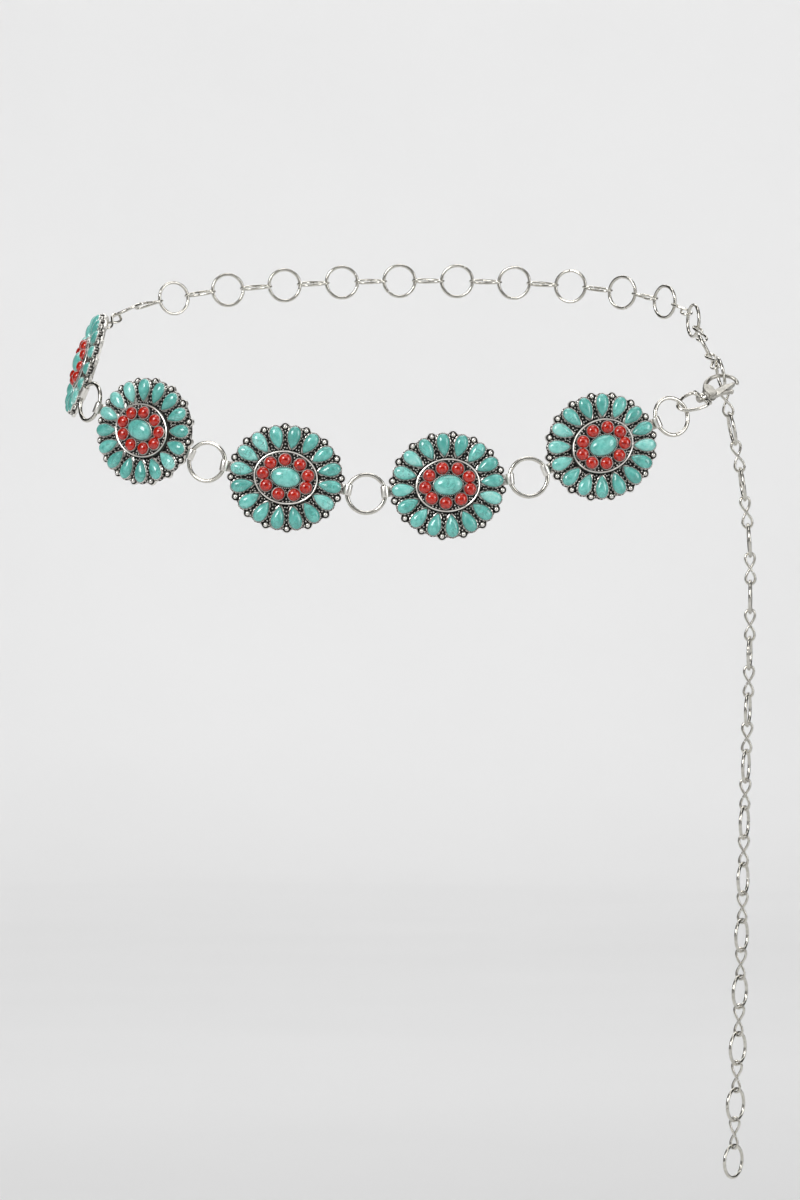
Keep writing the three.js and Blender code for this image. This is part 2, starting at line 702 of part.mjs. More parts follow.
// The free end hangs from the hooked ring: an eight, a ring, an eight, and so on
function hangDrop() {
  const lastYaw = radians(LAST_RING_YAW);
  const lastNormal = new THREE.Vector3(Math.sin(lastYaw), -Math.cos(lastYaw), 0);
  const [start, ...others] = DROP_ROUTE.map(
    ([x, y, z]) => new THREE.Vector3(x, y, z).add(hookedCentre));
  const route = smoothCurve([
    start, start.clone().addScaledVector(dropPull, 2 * chainStep), ...others]);
  let distance = 0;
  const places = [hookedCentre];
  for (let i = 0; i < 2 * DROP_PAIRS + 1; i++) {
    distance = stepAlong(route, distance, chainStep);
    places.push(pointAt(route, distance));
  }
  for (let i = 1; i <= 2 * DROP_PAIRS; i++) {
    const along = places[i + 1].clone().sub(places[i - 1]).normalize();
    const share = i / (2 * DROP_PAIRS);
    const ringNormal = hookedNormal.clone().lerp(lastNormal, share);
    const number = String(Math.ceil(i / 2)).padStart(2, '0');
    if (i % 2 === 0) {
      const group = placedGroup(places[i], along, ringNormal);
      addMesh(group, `drop_ring_${number}`, chainRing(), silver);
    } else {
      const eightNormal = ringNormal.clone().cross(along).normalize();
      const group = placedGroup(places[i], along, eightNormal);
      addMesh(group, `drop_eight_${number}`, eightLink(), silver);
    }
  }
}

hangDrop();

// The chain round the back, from the first link ring to the hooked ring. Its first and last
// steps lie in the planes of those rings
function stepInPlane(centre, normal, target, step) {
  const direction = target.clone().sub(centre).projectOnPlane(normal).normalize();
  return centre.clone().addScaledVector(direction, step);
}

function backCurve(depth) {
  const middle = BACK_ROUTE.map((row) => routePoint(row, depth));
  const first = rings[0];
  return smoothCurve([
    first.centre,
    stepInPlane(first.centre, first.outward, middle[0], linkRingStep),
    stepInPlane(first.centre, first.outward, middle[0], linkRingStep + fusedStep),
    ...middle,
    stepInPlane(hookedCentre, hookedNormal, middle.at(-1), chainStep + fusedStep),
    stepInPlane(hookedCentre, hookedNormal, middle.at(-1), chainStep),
    hookedCentre,
  ]);
}

function backPlaces(curve, pairs) {
  const steps = [linkRingStep];
  for (let i = 0; i < 2 * pairs; i++) steps.push(fusedStep);
  steps.push(chainStep);
  const distances = [0];
  steps.forEach((step, i) => distances.push(stepAlong(curve, distances[i], step)));
  return distances;
}

// The back is as deep as a whole number of links makes it
function fittedBack() {
  const nominal = backCurve(BACK_DEPTH).getLength();
  const pairs = Math.round((nominal - linkRingStep - chainStep) / (2 * fusedStep));
  let shallow = BACK_DEPTH * 0.4;
  let deep = BACK_DEPTH * 2.2;
  for (let round = 0; round < 26; round++) {
    const middle = (shallow + deep) / 2;
    const curve = backCurve(middle);
    const used = backPlaces(curve, pairs).at(-1);
    if (used > curve.getLength()) shallow = middle;
    else deep = middle;
  }
  const curve = backCurve((shallow + deep) / 2);
  return backPlaces(curve, pairs).map((distance) => pointAt(curve, distance));
}

function backChain() {
  const places = fittedBack();
  const links = [];
  const count = places.length - 2;
  const hold = 40;
  for (let i = 1; i <= count; i++) {
    const along = places[i + 1].clone().sub(places[i - 1]).normalize();
    const outward = outwardFrom(along)
      .addScaledVector(rings[0].outward, hold / 5 ** i)
      .addScaledVector(hookedNormal, hold / 5 ** (count + 1 - i))
      .projectOnPlane(along).normalize();
    const isEight = i % 2 === 1;
    const normal = isEight ? outward.clone().cross(along) : outward;
    const group = placedGroup(places[i], along, normal);
    belt.remove(group);
    group.updateMatrixWorld();
    const link = isEight ? eightLink() : chainRing();
    link.applyMatrix4(group.matrixWorld);
    links.push(toSolid(link));
  }
  return toGeometry(joined(links).simplify(FUSE_TOLERANCE));
}

addMesh(belt, 'back_chain', backChain(), silver);

export default belt;
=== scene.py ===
# %% [markdown]
# # A stone-set concho belt
# This lesson dresses a belt of five oval conchos on round rings, a snap hook and a chain
# of rings and figure-eight links. The plain solids of the belt are loaded as a fixed frame.
# Each piece is then built once, flat on the bench, and laid where its solid stands.
# Lengths are in millimetres on the bench and become metres when a piece is laid in place.

# %% Load the belt's solids
import json
import math
import random

import bmesh
import bpy
import numpy as np
from mathutils import Matrix, Vector
from mathutils.geometry import interpolate_bezier


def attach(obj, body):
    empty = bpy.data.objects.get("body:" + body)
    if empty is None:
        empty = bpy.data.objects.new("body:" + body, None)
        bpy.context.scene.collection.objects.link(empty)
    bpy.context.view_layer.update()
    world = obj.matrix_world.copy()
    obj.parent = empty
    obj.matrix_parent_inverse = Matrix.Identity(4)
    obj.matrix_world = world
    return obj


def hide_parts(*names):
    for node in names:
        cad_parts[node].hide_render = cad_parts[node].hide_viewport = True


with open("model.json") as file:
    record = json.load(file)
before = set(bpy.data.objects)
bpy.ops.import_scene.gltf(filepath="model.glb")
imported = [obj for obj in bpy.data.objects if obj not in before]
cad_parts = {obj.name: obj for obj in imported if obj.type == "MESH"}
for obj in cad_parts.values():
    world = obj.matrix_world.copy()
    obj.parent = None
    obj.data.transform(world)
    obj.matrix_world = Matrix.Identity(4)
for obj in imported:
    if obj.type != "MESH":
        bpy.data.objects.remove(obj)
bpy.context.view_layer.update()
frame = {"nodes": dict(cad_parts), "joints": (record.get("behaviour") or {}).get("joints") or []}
BODY = "belt"
MM = 0.001
UP = Vector((0, 0, 1))

# %% [markdown]
# ## The camera
# The photograph was taken from far off and level with the hips, so shapes hardly shrink
# towards the back. A long lens three metres away gives the same flat look.

# %% Set the camera
CAMERA_PLACE = Vector((-0.0019, -3.062, -0.109))
LENS = 189.5

camera_data = bpy.data.cameras.new("camera")
camera_data.sensor_fit = "VERTICAL"
camera_data.sensor_height = 36.0
camera_data.lens = LENS
camera = bpy.data.objects.new("camera", camera_data)
camera.location = CAMERA_PLACE
camera.rotation_euler = (math.radians(90), 0, 0)
bpy.context.scene.collection.objects.link(camera)
bpy.context.scene.camera = camera
print("camera at", tuple(CAMERA_PLACE), "lens", LENS)

# %% [markdown]
# ## Where each solid stands
# A node's place is in its vertices. The direction in which a ring's points spread least is
# the way the ring faces, and a long link's points spread most along the link. So the
# spread of the points (their principal directions) gives a frame to lay each new piece in.


# %% Read the frame of a solid
def points_of(name):
    """The solid's different corner points, in metres."""
    mesh = frame["nodes"][name].data
    flat = np.empty(len(mesh.vertices) * 3)
    mesh.vertices.foreach_get("co", flat)
    return np.unique(flat.reshape(-1, 3).round(7), axis=0)


def principal_frame(name):
    """Centre, then the long, middle and short directions of a solid."""
    points = points_of(name)
    centre = points.mean(axis=0)
    _, directions = np.linalg.eigh(np.cov((points - centre).T))
    long_way, middle_way, short_way = (Vector(directions[:, i]) for i in (2, 1, 0))
    return Vector(centre), long_way, middle_way, short_way


def placing(origin, along, outward):
    """A matrix from bench millimetres to the belt: local x and z point the two ways given."""
    x = along.normalized()
    y = outward.cross(x).normalized()
    z = x.cross(y)
    turn = Matrix((x, y, z)).transposed().to_4x4()
    return Matrix.Translation(origin) @ turn @ Matrix.Scale(MM, 4)


def link_placing(name):
    """Where a ring or an eight stands. A ring's x axis is turned as near upright as it goes."""
    centre, long_way, _, short_way = principal_frame(name)
    if "eight" in name:
        return placing(centre, long_way, short_way)
    upright = (UP - short_way * UP.dot(short_way)).normalized()
    return placing(centre, upright, short_way)


LINK_RINGS = [f"link_ring_{n}" for n in range(1, 7)]
CONCHOS = [f"concho_{n}" for n in range(1, 6)]
ring_centres = [principal_frame(name)[0] for name in LINK_RINGS]
print("link ring centres:", [tuple(round(v, 4) for v in c) for c in ring_centres])

# %% [markdown]
# A concho's centre stone has different length, height and depth, so its spread gives all
# three directions. Its foot stands a known height over the plate's back, where the
# concho's own origin is.

# %% Place the conchos
STONE_FOOT = 3.7


def concho_placing(number):
    """Where a concho's own origin stands, found from its centre stone and its two rings."""
    points = points_of(f"centre_stone_{number}")
    centre, long_way, middle_way, _ = principal_frame(f"centre_stone_{number}")
    run = ring_centres[number] - ring_centres[number - 1]
    along = long_way if long_way.dot(run) > 0 else -long_way
    outward = along.cross(middle_way).normalized()
    if outward.dot(Vector((centre.x, centre.y, 0))) < 0:
        outward = -outward
    foot = min(Vector(point).dot(outward) for point in points)
    origin = centre + outward * (foot - centre.dot(outward) - STONE_FOOT * MM)
    return placing(origin, along, outward)


concho_places = [concho_placing(n) for n in range(1, 6)]
for name, place in zip(CONCHOS, concho_places):
    print(name, [round(v, 4) for v in place.translation])

# %% [markdown]
# ## Helpers for the bench
# Nearly every stone and setting here is an outline that is raised and pulled in, level by
# level. `raised` starts from Blender's own circle, lets each corner remember its turn round
# the circle, and then extrudes the rim and reshapes it for each level. The `shine` layer
# says how far a place was rubbed bright: 0 in a blackened hollow, 1 on a polished edge.
# On the folded tab it also carries painted shade where the strip runs out from under the plate.


# %% Raise a body from an outline
TOOTH_DIP = 0.4
VALLEY_SHINE = 0.08


def corners_in(parts):
    return [part for part in parts if isinstance(part, bmesh.types.BMVert)]


def edges_in(parts):
    return [part for part in parts if isinstance(part, bmesh.types.BMEdge)]


def raised(outline, levels, segments, foot=True, lid="flat", teeth=False):
    """levels: (inset, height, shine, tooth depth). lid: flat, pole, or ring to close on the foot."""
    bm = bmesh.new()
    turn_of = bm.verts.layers.float.new("turn")
    shine_of = bm.verts.layers.float.new("shine")
    rim = bmesh.ops.create_circle(bm, cap_ends=foot, radius=1.0, segments=segments)["verts"]
    for corner in rim:
        corner[turn_of] = math.atan2(corner.co.y, corner.co.x)
    first_edges = edges = bm.edges[:]
    for number, (inset, height, shine, depth) in enumerate(levels):
        if number:
            rim = corners_in(bmesh.ops.extrude_edge_only(bm, edges=edges)["geom"])
            on_rim = set(rim)
            edges = [edge for edge in bm.edges if on_rim.issuperset(edge.verts)]
        for corner in rim:
            turn = corner[turn_of]
            groove = teeth and round(turn / math.tau * segments) % 2
            x, y = outline(turn, inset + (depth if groove else 0.0))
            corner.co = (x, y, height - (TOOTH_DIP * depth if groove else 0.0))
            corner[shine_of] = shine * (VALLEY_SHINE if groove and depth else 1.0)
    if lid == "flat":
        bmesh.ops.holes_fill(bm, edges=edges, sides=0)
    elif lid == "pole":
        middle = sum((corner.co for corner in rim), Vector()) / len(rim)
        bmesh.ops.pointmerge(bm, verts=rim, merge_co=middle)
    else:
        bmesh.ops.bridge_loops(bm, edges=first_edges + edges)
    return bm


def bench_mesh(bm, name, sharp=40):
    """Close the bmesh into a mesh, faces outwards, smooth but for edges sharper than an angle."""
    bmesh.ops.recalc_face_normals(bm, faces=bm.faces)
    mesh = bpy.data.meshes.new(name)
    bm.to_mesh(mesh)
    bm.free()
    mesh.polygons.foreach_set("use_smooth", [True] * len(mesh.polygons))
    mesh.set_sharp_from_angle(angle=math.radians(sharp))
    return mesh


def add_copy(target, mesh, place=Matrix.Identity(4), tone=None):
    """Put a copy of a small mesh into a larger bmesh at a place."""
    start = len(target.verts)
    target.from_mesh(mesh)
    target.verts.ensure_lookup_table()
    new = target.verts[start:]
    bmesh.ops.transform(target, matrix=place, verts=new)
    if tone is not None:
        tone_of = target.verts.layers.float["tone"]
        for corner in new:
            corner[tone_of] = tone


def collected(*layers):
    """An empty bmesh that keeps the layers named."""
    bm = bmesh.new()
    for layer in layers:
        bm.verts.layers.float.new(layer)
    return bm


# %% [markdown]
# A finished piece is a copy of a bench mesh moved to its place. The object itself stays at
# the origin, so that patterns on object coordinates differ from piece to piece.


# %% Lay a piece in its place
def lay_piece(name, mesh, place, material, nodes=(), body=BODY):
    laid = mesh.copy()
    laid.name = name
    laid.transform(place)
    laid.materials.clear()
    laid.materials.append(material)
    piece = bpy.data.objects.new(name, laid)
    bpy.context.scene.collection.objects.link(piece)
    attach(piece, body)
    if nodes:
        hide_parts(*nodes)
    return piece


def triangles(mesh):
    return sum(len(face.vertices) - 2 for face in mesh.polygons)


def report(title, *meshes):
    print(title, "triangles:", [triangles(mesh) for mesh in meshes])


# %% [markdown]
# ## Finishes
# Five finishes are on this belt: bright plated wire, a duller plating on the castings,
# antiqued silver that is black in its hollows, green-blue turquoise with faint veins, and
# mottled coral red. Each is made of noise and ramps, so no picture is needed.


# %% Start a node material
def new_finish(name):
    finish = bpy.data.materials.new(name)
    finish.use_nodes = True
    tree = finish.node_tree
    return finish, tree, tree.nodes["Principled BSDF"]


def add_node(tree, kind, **settings):
    """A new node; each setting is an input's value where an input has that name."""
    node = tree.nodes.new(kind)
    for key, value in settings.items():
        if key in node.inputs:
            node.inputs[key].default_value = value
        else:
            setattr(node, key, value)
    return node


def ramp(tree, source, *stops):
    """A colour ramp on a value; each stop is (place, colour)."""
    node = tree.nodes.new("ShaderNodeValToRGB")
    band = node.color_ramp
    while len(band.elements) < len(stops):
        band.elements.new(0.5)
    for element, (place, colour) in zip(band.elements, stops):
        element.position = place
        element.color = colour if len(colour) == 4 else (*colour, 1.0)
    tree.links.new(source, node.inputs["Fac"])
    return node.outputs["Color"]


def grey(value):
    return (value, value, value, 1.0)


def object_noise(tree, scale, detail=3.0, roughness=0.5, distortion=0.0):
    """Noise on object coordinates; the scale is in waves a metre."""
    place = add_node(tree, "ShaderNodeTexCoord")
    noise = add_node(tree, "ShaderNodeTexNoise", Scale=scale, Detail=detail,
                     Roughness=roughness, Distortion=distortion)
    tree.links.new(place.outputs["Object"], noise.inputs["Vector"])
    return noise.outputs["Fac"]


def bumped(tree, shader, height, distance, strength):
    bump = add_node(tree, "ShaderNodeBump", Strength=strength, Distance=distance)
    tree.links.new(height, bump.inputs["Height"])
    tree.links.new(bump.outputs["Normal"], shader.inputs["Normal"])


# %% [markdown]
# Plated wire is nearly a mirror. What keeps it from looking like plastic film is slight:
# a roughness that drifts along the wire, a tint that darkens in patches, and a faint
# waviness left by drawing and bending it.


# %% Bright plated wire and the duller castings
def plated_finish(name, dull, clean, rough_dull, rough_clean):
    finish, tree, shader = new_finish(name)
    patches = object_noise(tree, 420.0, detail=4.0)
    scratches = object_noise(tree, 2600.0, detail=2.0)
    tint = ramp(tree, patches, (0.3, dull), (0.62, clean))
    tree.links.new(tint, shader.inputs["Base Color"])
    shader.inputs["Metallic"].default_value = 1.0
    rough = ramp(tree, patches, (0.35, grey(rough_dull)), (0.7, grey(rough_clean)))
    tree.links.new(rough, shader.inputs["Roughness"])
    bumped(tree, shader, scratches, 0.00002, 0.35)
    return finish


BRIGHT_SILVER = plated_finish("bright silver", (0.56, 0.54, 0.49), (0.76, 0.74, 0.68),
                              0.22, 0.12)
CAST_SILVER = plated_finish("cast silver", (0.40, 0.385, 0.35), (0.60, 0.58, 0.53),
                            0.40, 0.26)
print("made", BRIGHT_SILVER.name, "and", CAST_SILVER.name)

# %% [markdown]
# Antiqued silver is dipped to turn black, then polished, so only the high places come back
# bright. The `shine` layer of each mesh drives colour, metal and roughness together, and a
# fine noise breaks its edge up.


# %% Antiqued silver
WEAR_NOISE = 0.34


def antique_silver_finish():
    finish, tree, shader = new_finish("antique silver")
    shine = add_node(tree, "ShaderNodeAttribute", attribute_name="shine")
    patches = object_noise(tree, 1500.0, detail=4.0, roughness=0.6)
    mixed = add_node(tree, "ShaderNodeMath", operation="MULTIPLY_ADD")
    tree.links.new(patches, mixed.inputs[0])
    mixed.inputs[1].default_value = WEAR_NOISE
    tree.links.new(shine.outputs["Fac"], mixed.inputs[2])
    worn = mixed.outputs[0]
    tint = ramp(tree, worn, (0.16, (0.012, 0.011, 0.010)), (0.42, (0.06, 0.054, 0.047)),
                (0.72, (0.52, 0.50, 0.46)), (1.0, (0.93, 0.91, 0.86)))
    tree.links.new(tint, shader.inputs["Base Color"])
    tree.links.new(ramp(tree, worn, (0.15, grey(0.25)), (0.6, grey(1.0))),
                   shader.inputs["Metallic"])
    # A ramp only reads 0 to 1, so the roughness is read at half of the wear
    halved = add_node(tree, "ShaderNodeMath", operation="MULTIPLY")
    tree.links.new(worn, halved.inputs[0])
    halved.inputs[1].default_value = 0.5
    polish = ramp(tree, halved.outputs[0], (0.1, grey(0.72)), (0.48, grey(0.36)),
                  (0.6, grey(0.34)), (0.75, grey(0.14)))
    tree.links.new(polish, shader.inputs["Roughness"])
    bumped(tree, shader, patches, 0.00006, 0.4)
    return finish


ANTIQUE_SILVER = antique_silver_finish()
print("made", ANTIQUE_SILVER.name)

# %% [markdown]
# The stones are polished and glassy. Turquoise drifts between aqua and a greener tone, with
# grey-green veins that come and go. A vein is where a stretched noise passes its middle
# value, so a narrow ramp round that value draws thin wandering lines.


# %% Turquoise
TONE_SHARE = 0.22
VEIN_COLOUR = (0.075, 0.190, 0.165, 1.0)
# Places of the colour sockets on a mix node, whose names repeat
MIX_FIRST, MIX_SECOND, MIXED = 6, 7, 2


def turquoise_finish():
    finish, tree, shader = new_finish("turquoise stone")
    tone = add_node(tree, "ShaderNodeAttribute", attribute_name="tone")
    clouds = object_noise(tree, 260.0, detail=5.0, roughness=0.6, distortion=0.4)
    drift = add_node(tree, "ShaderNodeMath", operation="MULTIPLY_ADD")
    tree.links.new(tone.outputs["Fac"], drift.inputs[0])
    drift.inputs[1].default_value = TONE_SHARE
    tree.links.new(clouds, drift.inputs[2])
    body = ramp(tree, drift.outputs[0],
                (0.3, (0.105, 0.450, 0.395)), (0.5, (0.185, 0.630, 0.560)),
                (0.68, (0.270, 0.735, 0.665)), (0.85, (0.400, 0.800, 0.730)))
    veins = object_noise(tree, 240.0, detail=6.0, roughness=0.62, distortion=1.4)
    line = ramp(tree, veins, (0.465, grey(0.0)), (0.492, grey(0.85)), (0.52, grey(0.0)))
    patches = object_noise(tree, 150.0, detail=1.0)
    where = ramp(tree, patches, (0.38, grey(0.0)), (0.58, grey(1.0)))
    both = add_node(tree, "ShaderNodeMath", operation="MULTIPLY")
    tree.links.new(line, both.inputs[0])
    tree.links.new(where, both.inputs[1])
    mix = add_node(tree, "ShaderNodeMix", data_type="RGBA")
    tree.links.new(both.outputs[0], mix.inputs[0])
    tree.links.new(body, mix.inputs[MIX_FIRST])
    mix.inputs[MIX_SECOND].default_value = VEIN_COLOUR
    tree.links.new(mix.outputs[MIXED], shader.inputs["Base Color"])
    shader.inputs["Roughness"].default_value = 0.16
    shader.inputs["Coat Weight"].default_value = 0.9
    shader.inputs["Coat Roughness"].default_value = 0.06
    bumped(tree, shader, clouds, 0.00005, 0.25)
    return finish


TURQUOISE = turquoise_finish()


# %% Coral red
def coral_finish():
    finish, tree, shader = new_finish("coral red")
    clouds = object_noise(tree, 620.0, detail=5.0, roughness=0.65, distortion=0.8)
    body = ramp(tree, clouds, (0.34, (0.25, 0.005, 0.003)), (0.5, (0.52, 0.013, 0.004)),
                (0.68, (0.74, 0.038, 0.011)))
    tree.links.new(body, shader.inputs["Base Color"])
    shader.inputs["Roughness"].default_value = 0.14
    shader.inputs["Coat Weight"].default_value = 1.0
    shader.inputs["Coat Roughness"].default_value = 0.05
    bumped(tree, shader, clouds, 0.00006, 0.3)
    return finish


CORAL = coral_finish()
print("made", TURQUOISE.name, "and", CORAL.name)

# %% [markdown]
# ## Rings and chain
# A jeweller coils wire round a rod and saws the coil into rings, so each ring is one turn
# of a spring: its two ends meet at a seam and rarely line up. Spinning a wire's round
# section about the ring's middle gives the turn, and a slight spiral gives the seam.

# %% Bend a ring from wire
LINK_RING_RADIUS, LINK_RING_WIRE = 9.1, 1.0
CHAIN_RING_RADIUS, CHAIN_RING_WIRE = 7.8, 0.8
SEAM_GAP = 0.22
SEAM_OFFSET = 0.16


def wire_ring(name, radius, wire, sides, steps, seam_turn):
    """A ring of round wire whose ends pass each other a little at the seam."""
    bm = bmesh.new()
    section = bmesh.ops.create_circle(bm, radius=wire, segments=sides)["verts"]
    stand = Matrix.Translation((radius, 0, 0)) @ Matrix.Rotation(math.radians(90), 4, "X")
    bmesh.ops.transform(bm, matrix=stand, verts=section)
    opening = SEAM_GAP / radius
    bmesh.ops.spin(bm, geom=bm.edges[:], cent=(0, 0, 0), axis=(0, 0, 1),
                   angle=math.tau - opening, steps=steps, use_merge=False)
    ends = [edge for edge in bm.edges if edge.is_boundary]
    caps = bmesh.ops.holes_fill(bm, edges=ends, sides=0)["faces"]
    bmesh.ops.bevel(bm, geom=[edge for cap in caps for edge in cap.edges], offset=wire * 0.12,
                    segments=2, profile=0.5, affect="EDGES", material=-1)
    for corner in bm.verts:
        turn = math.atan2(corner.co.y, corner.co.x) % math.tau
        drift = turn / math.tau - 0.5
        corner.co *= 1 + SEAM_OFFSET * drift * abs(drift) / radius
        corner.co.z += SEAM_OFFSET * drift ** 3
    turned = Matrix.Rotation(math.radians(seam_turn), 3, "Z")
    bmesh.ops.rotate(bm, cent=(0, 0, 0), matrix=turned, verts=bm.verts)
    return bench_mesh(bm, name, sharp=50)


# The seam's turn is measured from a ring's upright, and differs from ring to ring
LINK_SEAMS = [200, 150, 55, 60, 300, 190]
CHAIN_SEAM = 118
for name, seam in zip(LINK_RINGS, LINK_SEAMS):
    ring = wire_ring(name, LINK_RING_RADIUS, LINK_RING_WIRE, 16, 96, seam)
    lay_piece(f"{name}_wire", ring, link_placing(name), BRIGHT_SILVER, [name])
chain_ring = wire_ring("chain ring", CHAIN_RING_RADIUS, CHAIN_RING_WIRE, 12, 72, CHAIN_SEAM)
report("link ring and chain ring", ring, chain_ring)

# %% [markdown]
# A figure-eight link is one wire crossed over itself, flattened a little where it crosses.
# A curve with a round bevel follows the crossing path: once along, twice across, and once
# up and down, so that the strands pass over and under each other.

# %% Bend a figure-eight link
EIGHT_LENGTH, EIGHT_WIDTH, EIGHT_WIRE = 16.5, 5.8, 0.65
EIGHT_CROSS_GAP = 0.15
EIGHT_PINCH = 0.16
EIGHT_STEPS = 64
EIGHT_SEAM, EIGHT_SHARE = 0.29, 0.994
DROP_PAIRS = 14
DROP_SEAM_STEP = 137


def eight_point(share):
    """A place on the wire's middle line, at a share of the way round."""
    turn = math.tau * share
    loop = math.sin(2 * turn) * (1 - EIGHT_PINCH * math.cos(2 * turn))
    return Vector((
        (EIGHT_LENGTH / 2 - EIGHT_WIRE) * math.cos(turn),
        (EIGHT_WIDTH / 2 - EIGHT_WIRE) * loop,
        (EIGHT_WIRE + EIGHT_CROSS_GAP / 2) * math.sin(turn)))


def eight_link():
    wire = bpy.data.curves.new("eight wire", "CURVE")
    wire.dimensions = "3D"
    wire.bevel_depth = EIGHT_WIRE
    wire.bevel_resolution = 3
    wire.use_fill_caps = True
    path = wire.splines.new("POLY")
    shares = [EIGHT_SEAM + EIGHT_SHARE * i / EIGHT_STEPS for i in range(EIGHT_STEPS + 1)]
    path.points.add(len(shares) - 1)
    for point, share in zip(path.points, shares):
        point.co = (*eight_point(share), 1.0)
    holder = bpy.data.objects.new("eight wire", wire)
    mesh = bpy.data.meshes.new_from_object(holder)
    bpy.data.objects.remove(holder)
    bm = bmesh.new()
    bm.from_mesh(mesh)
    bmesh.ops.remove_doubles(bm, verts=bm.verts, dist=1e-4)
    return bench_mesh(bm, "eight link", sharp=50)


eight = eight_link()
for n in range(1, DROP_PAIRS + 1):
    for kind, mesh, turn in (("eight", eight, 0), ("ring", chain_ring, DROP_SEAM_STEP * n)):
        name = f"drop_{kind}_{n:02d}"
        place = link_placing(name) @ Matrix.Rotation(math.radians(turn), 4, "Z")
        lay_piece(f"{name}_wire", mesh, place, BRIGHT_SILVER, [name])
lay_piece("hooked_ring_wire", chain_ring, link_placing("hooked_ring"), BRIGHT_SILVER,
          ["hooked_ring"])
report("eight link", eight)

# %% [markdown]
# The back of the chain is one solid in the frame, so its links have to be found again. The
# route is the one the solid was built on: a smooth curve through five places on the hips,
# from the first link ring to the ring in the hook, as deep as a whole number of links makes.

# %% Walk round the back
HIP_HALF_WIDTH, BACK_DEPTH, BELT_TILT = 156.0, 118.0, 55.0
BACK_ROUTE = [(-0.86, 0.72, 0.66), (-0.62, 0.90, 0.82), (0.0, 1.0, 0.93),
              (0.62, 0.84, 0.84), (0.88, 0.48, 0.62)]
# The play between loose links, and how far the solid's links run into each other
GAP, FUSE = 0.3, 0.5
CURVE_STEPS = 100


def smooth_route(points):
    """A centripetal curve through the points, as short straight steps."""
    first, last = 2 * points[0] - points[1], 2 * points[-1] - points[-2]
    chain = [first, *points, last]
    route = []
    for a, b, c, d in zip(chain, chain[1:], chain[2:], chain[3:]):
        before, here, after = (math.sqrt((q - p).length) for p, q in ((a, b), (b, c), (c, d)))
        leave = ((b - a) / before - (c - a) / (before + here) + (c - b) / here) * here
        arrive = ((c - b) / here - (d - b) / (here + after) + (d - c) / after) * here
        route += interpolate_bezier(b, b + leave / 3, c - arrive / 3, c, CURVE_STEPS + 1)[:-1]
    return np.array([*route, points[-1]])


class Route:
    """Places at distances along a curve, which goes on straight past its end."""

    def __init__(self, points):
        self.points = smooth_route(points)
        steps = np.linalg.norm(np.diff(self.points, axis=0), axis=1)
        self.distances = np.concatenate([[0.0], np.cumsum(steps)])
        self.length = self.distances[-1]

    def at(self, distance):
        """The place at a distance from the start."""
        along = [np.interp(distance, self.distances, self.points[:, i]) for i in range(3)]
        end = self.points[-1] - self.points[-2]
        past = max(0.0, distance - self.length)
        return Vector(along) + Vector(end / np.linalg.norm(end)) * past

    def step(self, start, chord):
        """The distance at which the curve is one straight chord away from the start."""
        near, far = start + chord * 0.9, start + chord * 1.6
        origin = self.at(start)
        for _ in range(30):
            middle = (near + far) / 2
            if (self.at(middle) - origin).length < chord:
                near = middle
            else:
                far = middle
        return (near + far) / 2


def ring_facing(name, towards):
    """A ring's centre in millimetres and the way it faces, on the side given."""
    centre, _, _, normal = principal_frame(name)
    return centre / MM, normal if normal.dot(towards) > 0 else -normal


first_centre, first_facing = ring_facing("link_ring_1", Vector((-1, 0, 0)))
hooked_centre, hooked_facing = ring_facing("hooked_ring", Vector((1, 0, 0)))


def taut_step(radius, wire):
    """From a ring's middle to the middle of the eight that hangs in it, pulled tight."""
    return radius - wire + EIGHT_LENGTH / 2 - 2 * EIGHT_WIRE


chain_step = taut_step(CHAIN_RING_RADIUS, CHAIN_RING_WIRE) - GAP
fused_step = chain_step + GAP + FUSE
link_ring_step = taut_step(LINK_RING_RADIUS, LINK_RING_WIRE) - GAP


def in_plane(centre, facing, target, step):
    """A step from a ring's centre towards a target, kept in the ring's own plane."""
    way = target - centre
    return centre + (way - facing * way.dot(facing)).normalized() * step


def back_route(depth):
    middle = [Vector((across * HIP_HALF_WIDTH, deep * depth, rise * BELT_TILT))
              for across, deep, rise in BACK_ROUTE]
    return Route([
        first_centre,
        in_plane(first_centre, first_facing, middle[0], link_ring_step),
        in_plane(first_centre, first_facing, middle[0], link_ring_step + fused_step),
        *middle,
        in_plane(hooked_centre, hooked_facing, middle[-1], chain_step + fused_step),
        in_plane(hooked_centre, hooked_facing, middle[-1], chain_step),
        hooked_centre])


def back_places(route, pairs):
    distances = [0.0]
    for step in [link_ring_step, *[fused_step] * (2 * pairs), chain_step]:
        distances.append(route.step(distances[-1], step))
    return distances


def fitted_back():
    """The links' centres, with the loop as deep as a whole number of links makes it."""
    nominal = back_route(BACK_DEPTH).length
    pairs = round((nominal - link_ring_step - chain_step) / (2 * fused_step))
    shallow, deep = BACK_DEPTH * 0.4, BACK_DEPTH * 2.2
    for _ in range(24):
        middle = (shallow + deep) / 2
        route = back_route(middle)
        if back_places(route, pairs)[-1] > route.length:
            shallow = middle
        else:
            deep = middle
    route = back_route((shallow + deep) / 2)
    return [route.at(distance) for distance in back_places(route, pairs)]


places = fitted_back()
print("back chain:", len(places) - 2, "links; closes on",
      tuple(round(v, 2) for v in places[-1] - hooked_centre))

# %% [markdown]
# Rings and eights are laid by turns along the route, each turned a quarter from the last. The
# links next to the two end rings lean with them, and the lean fades out link by link.

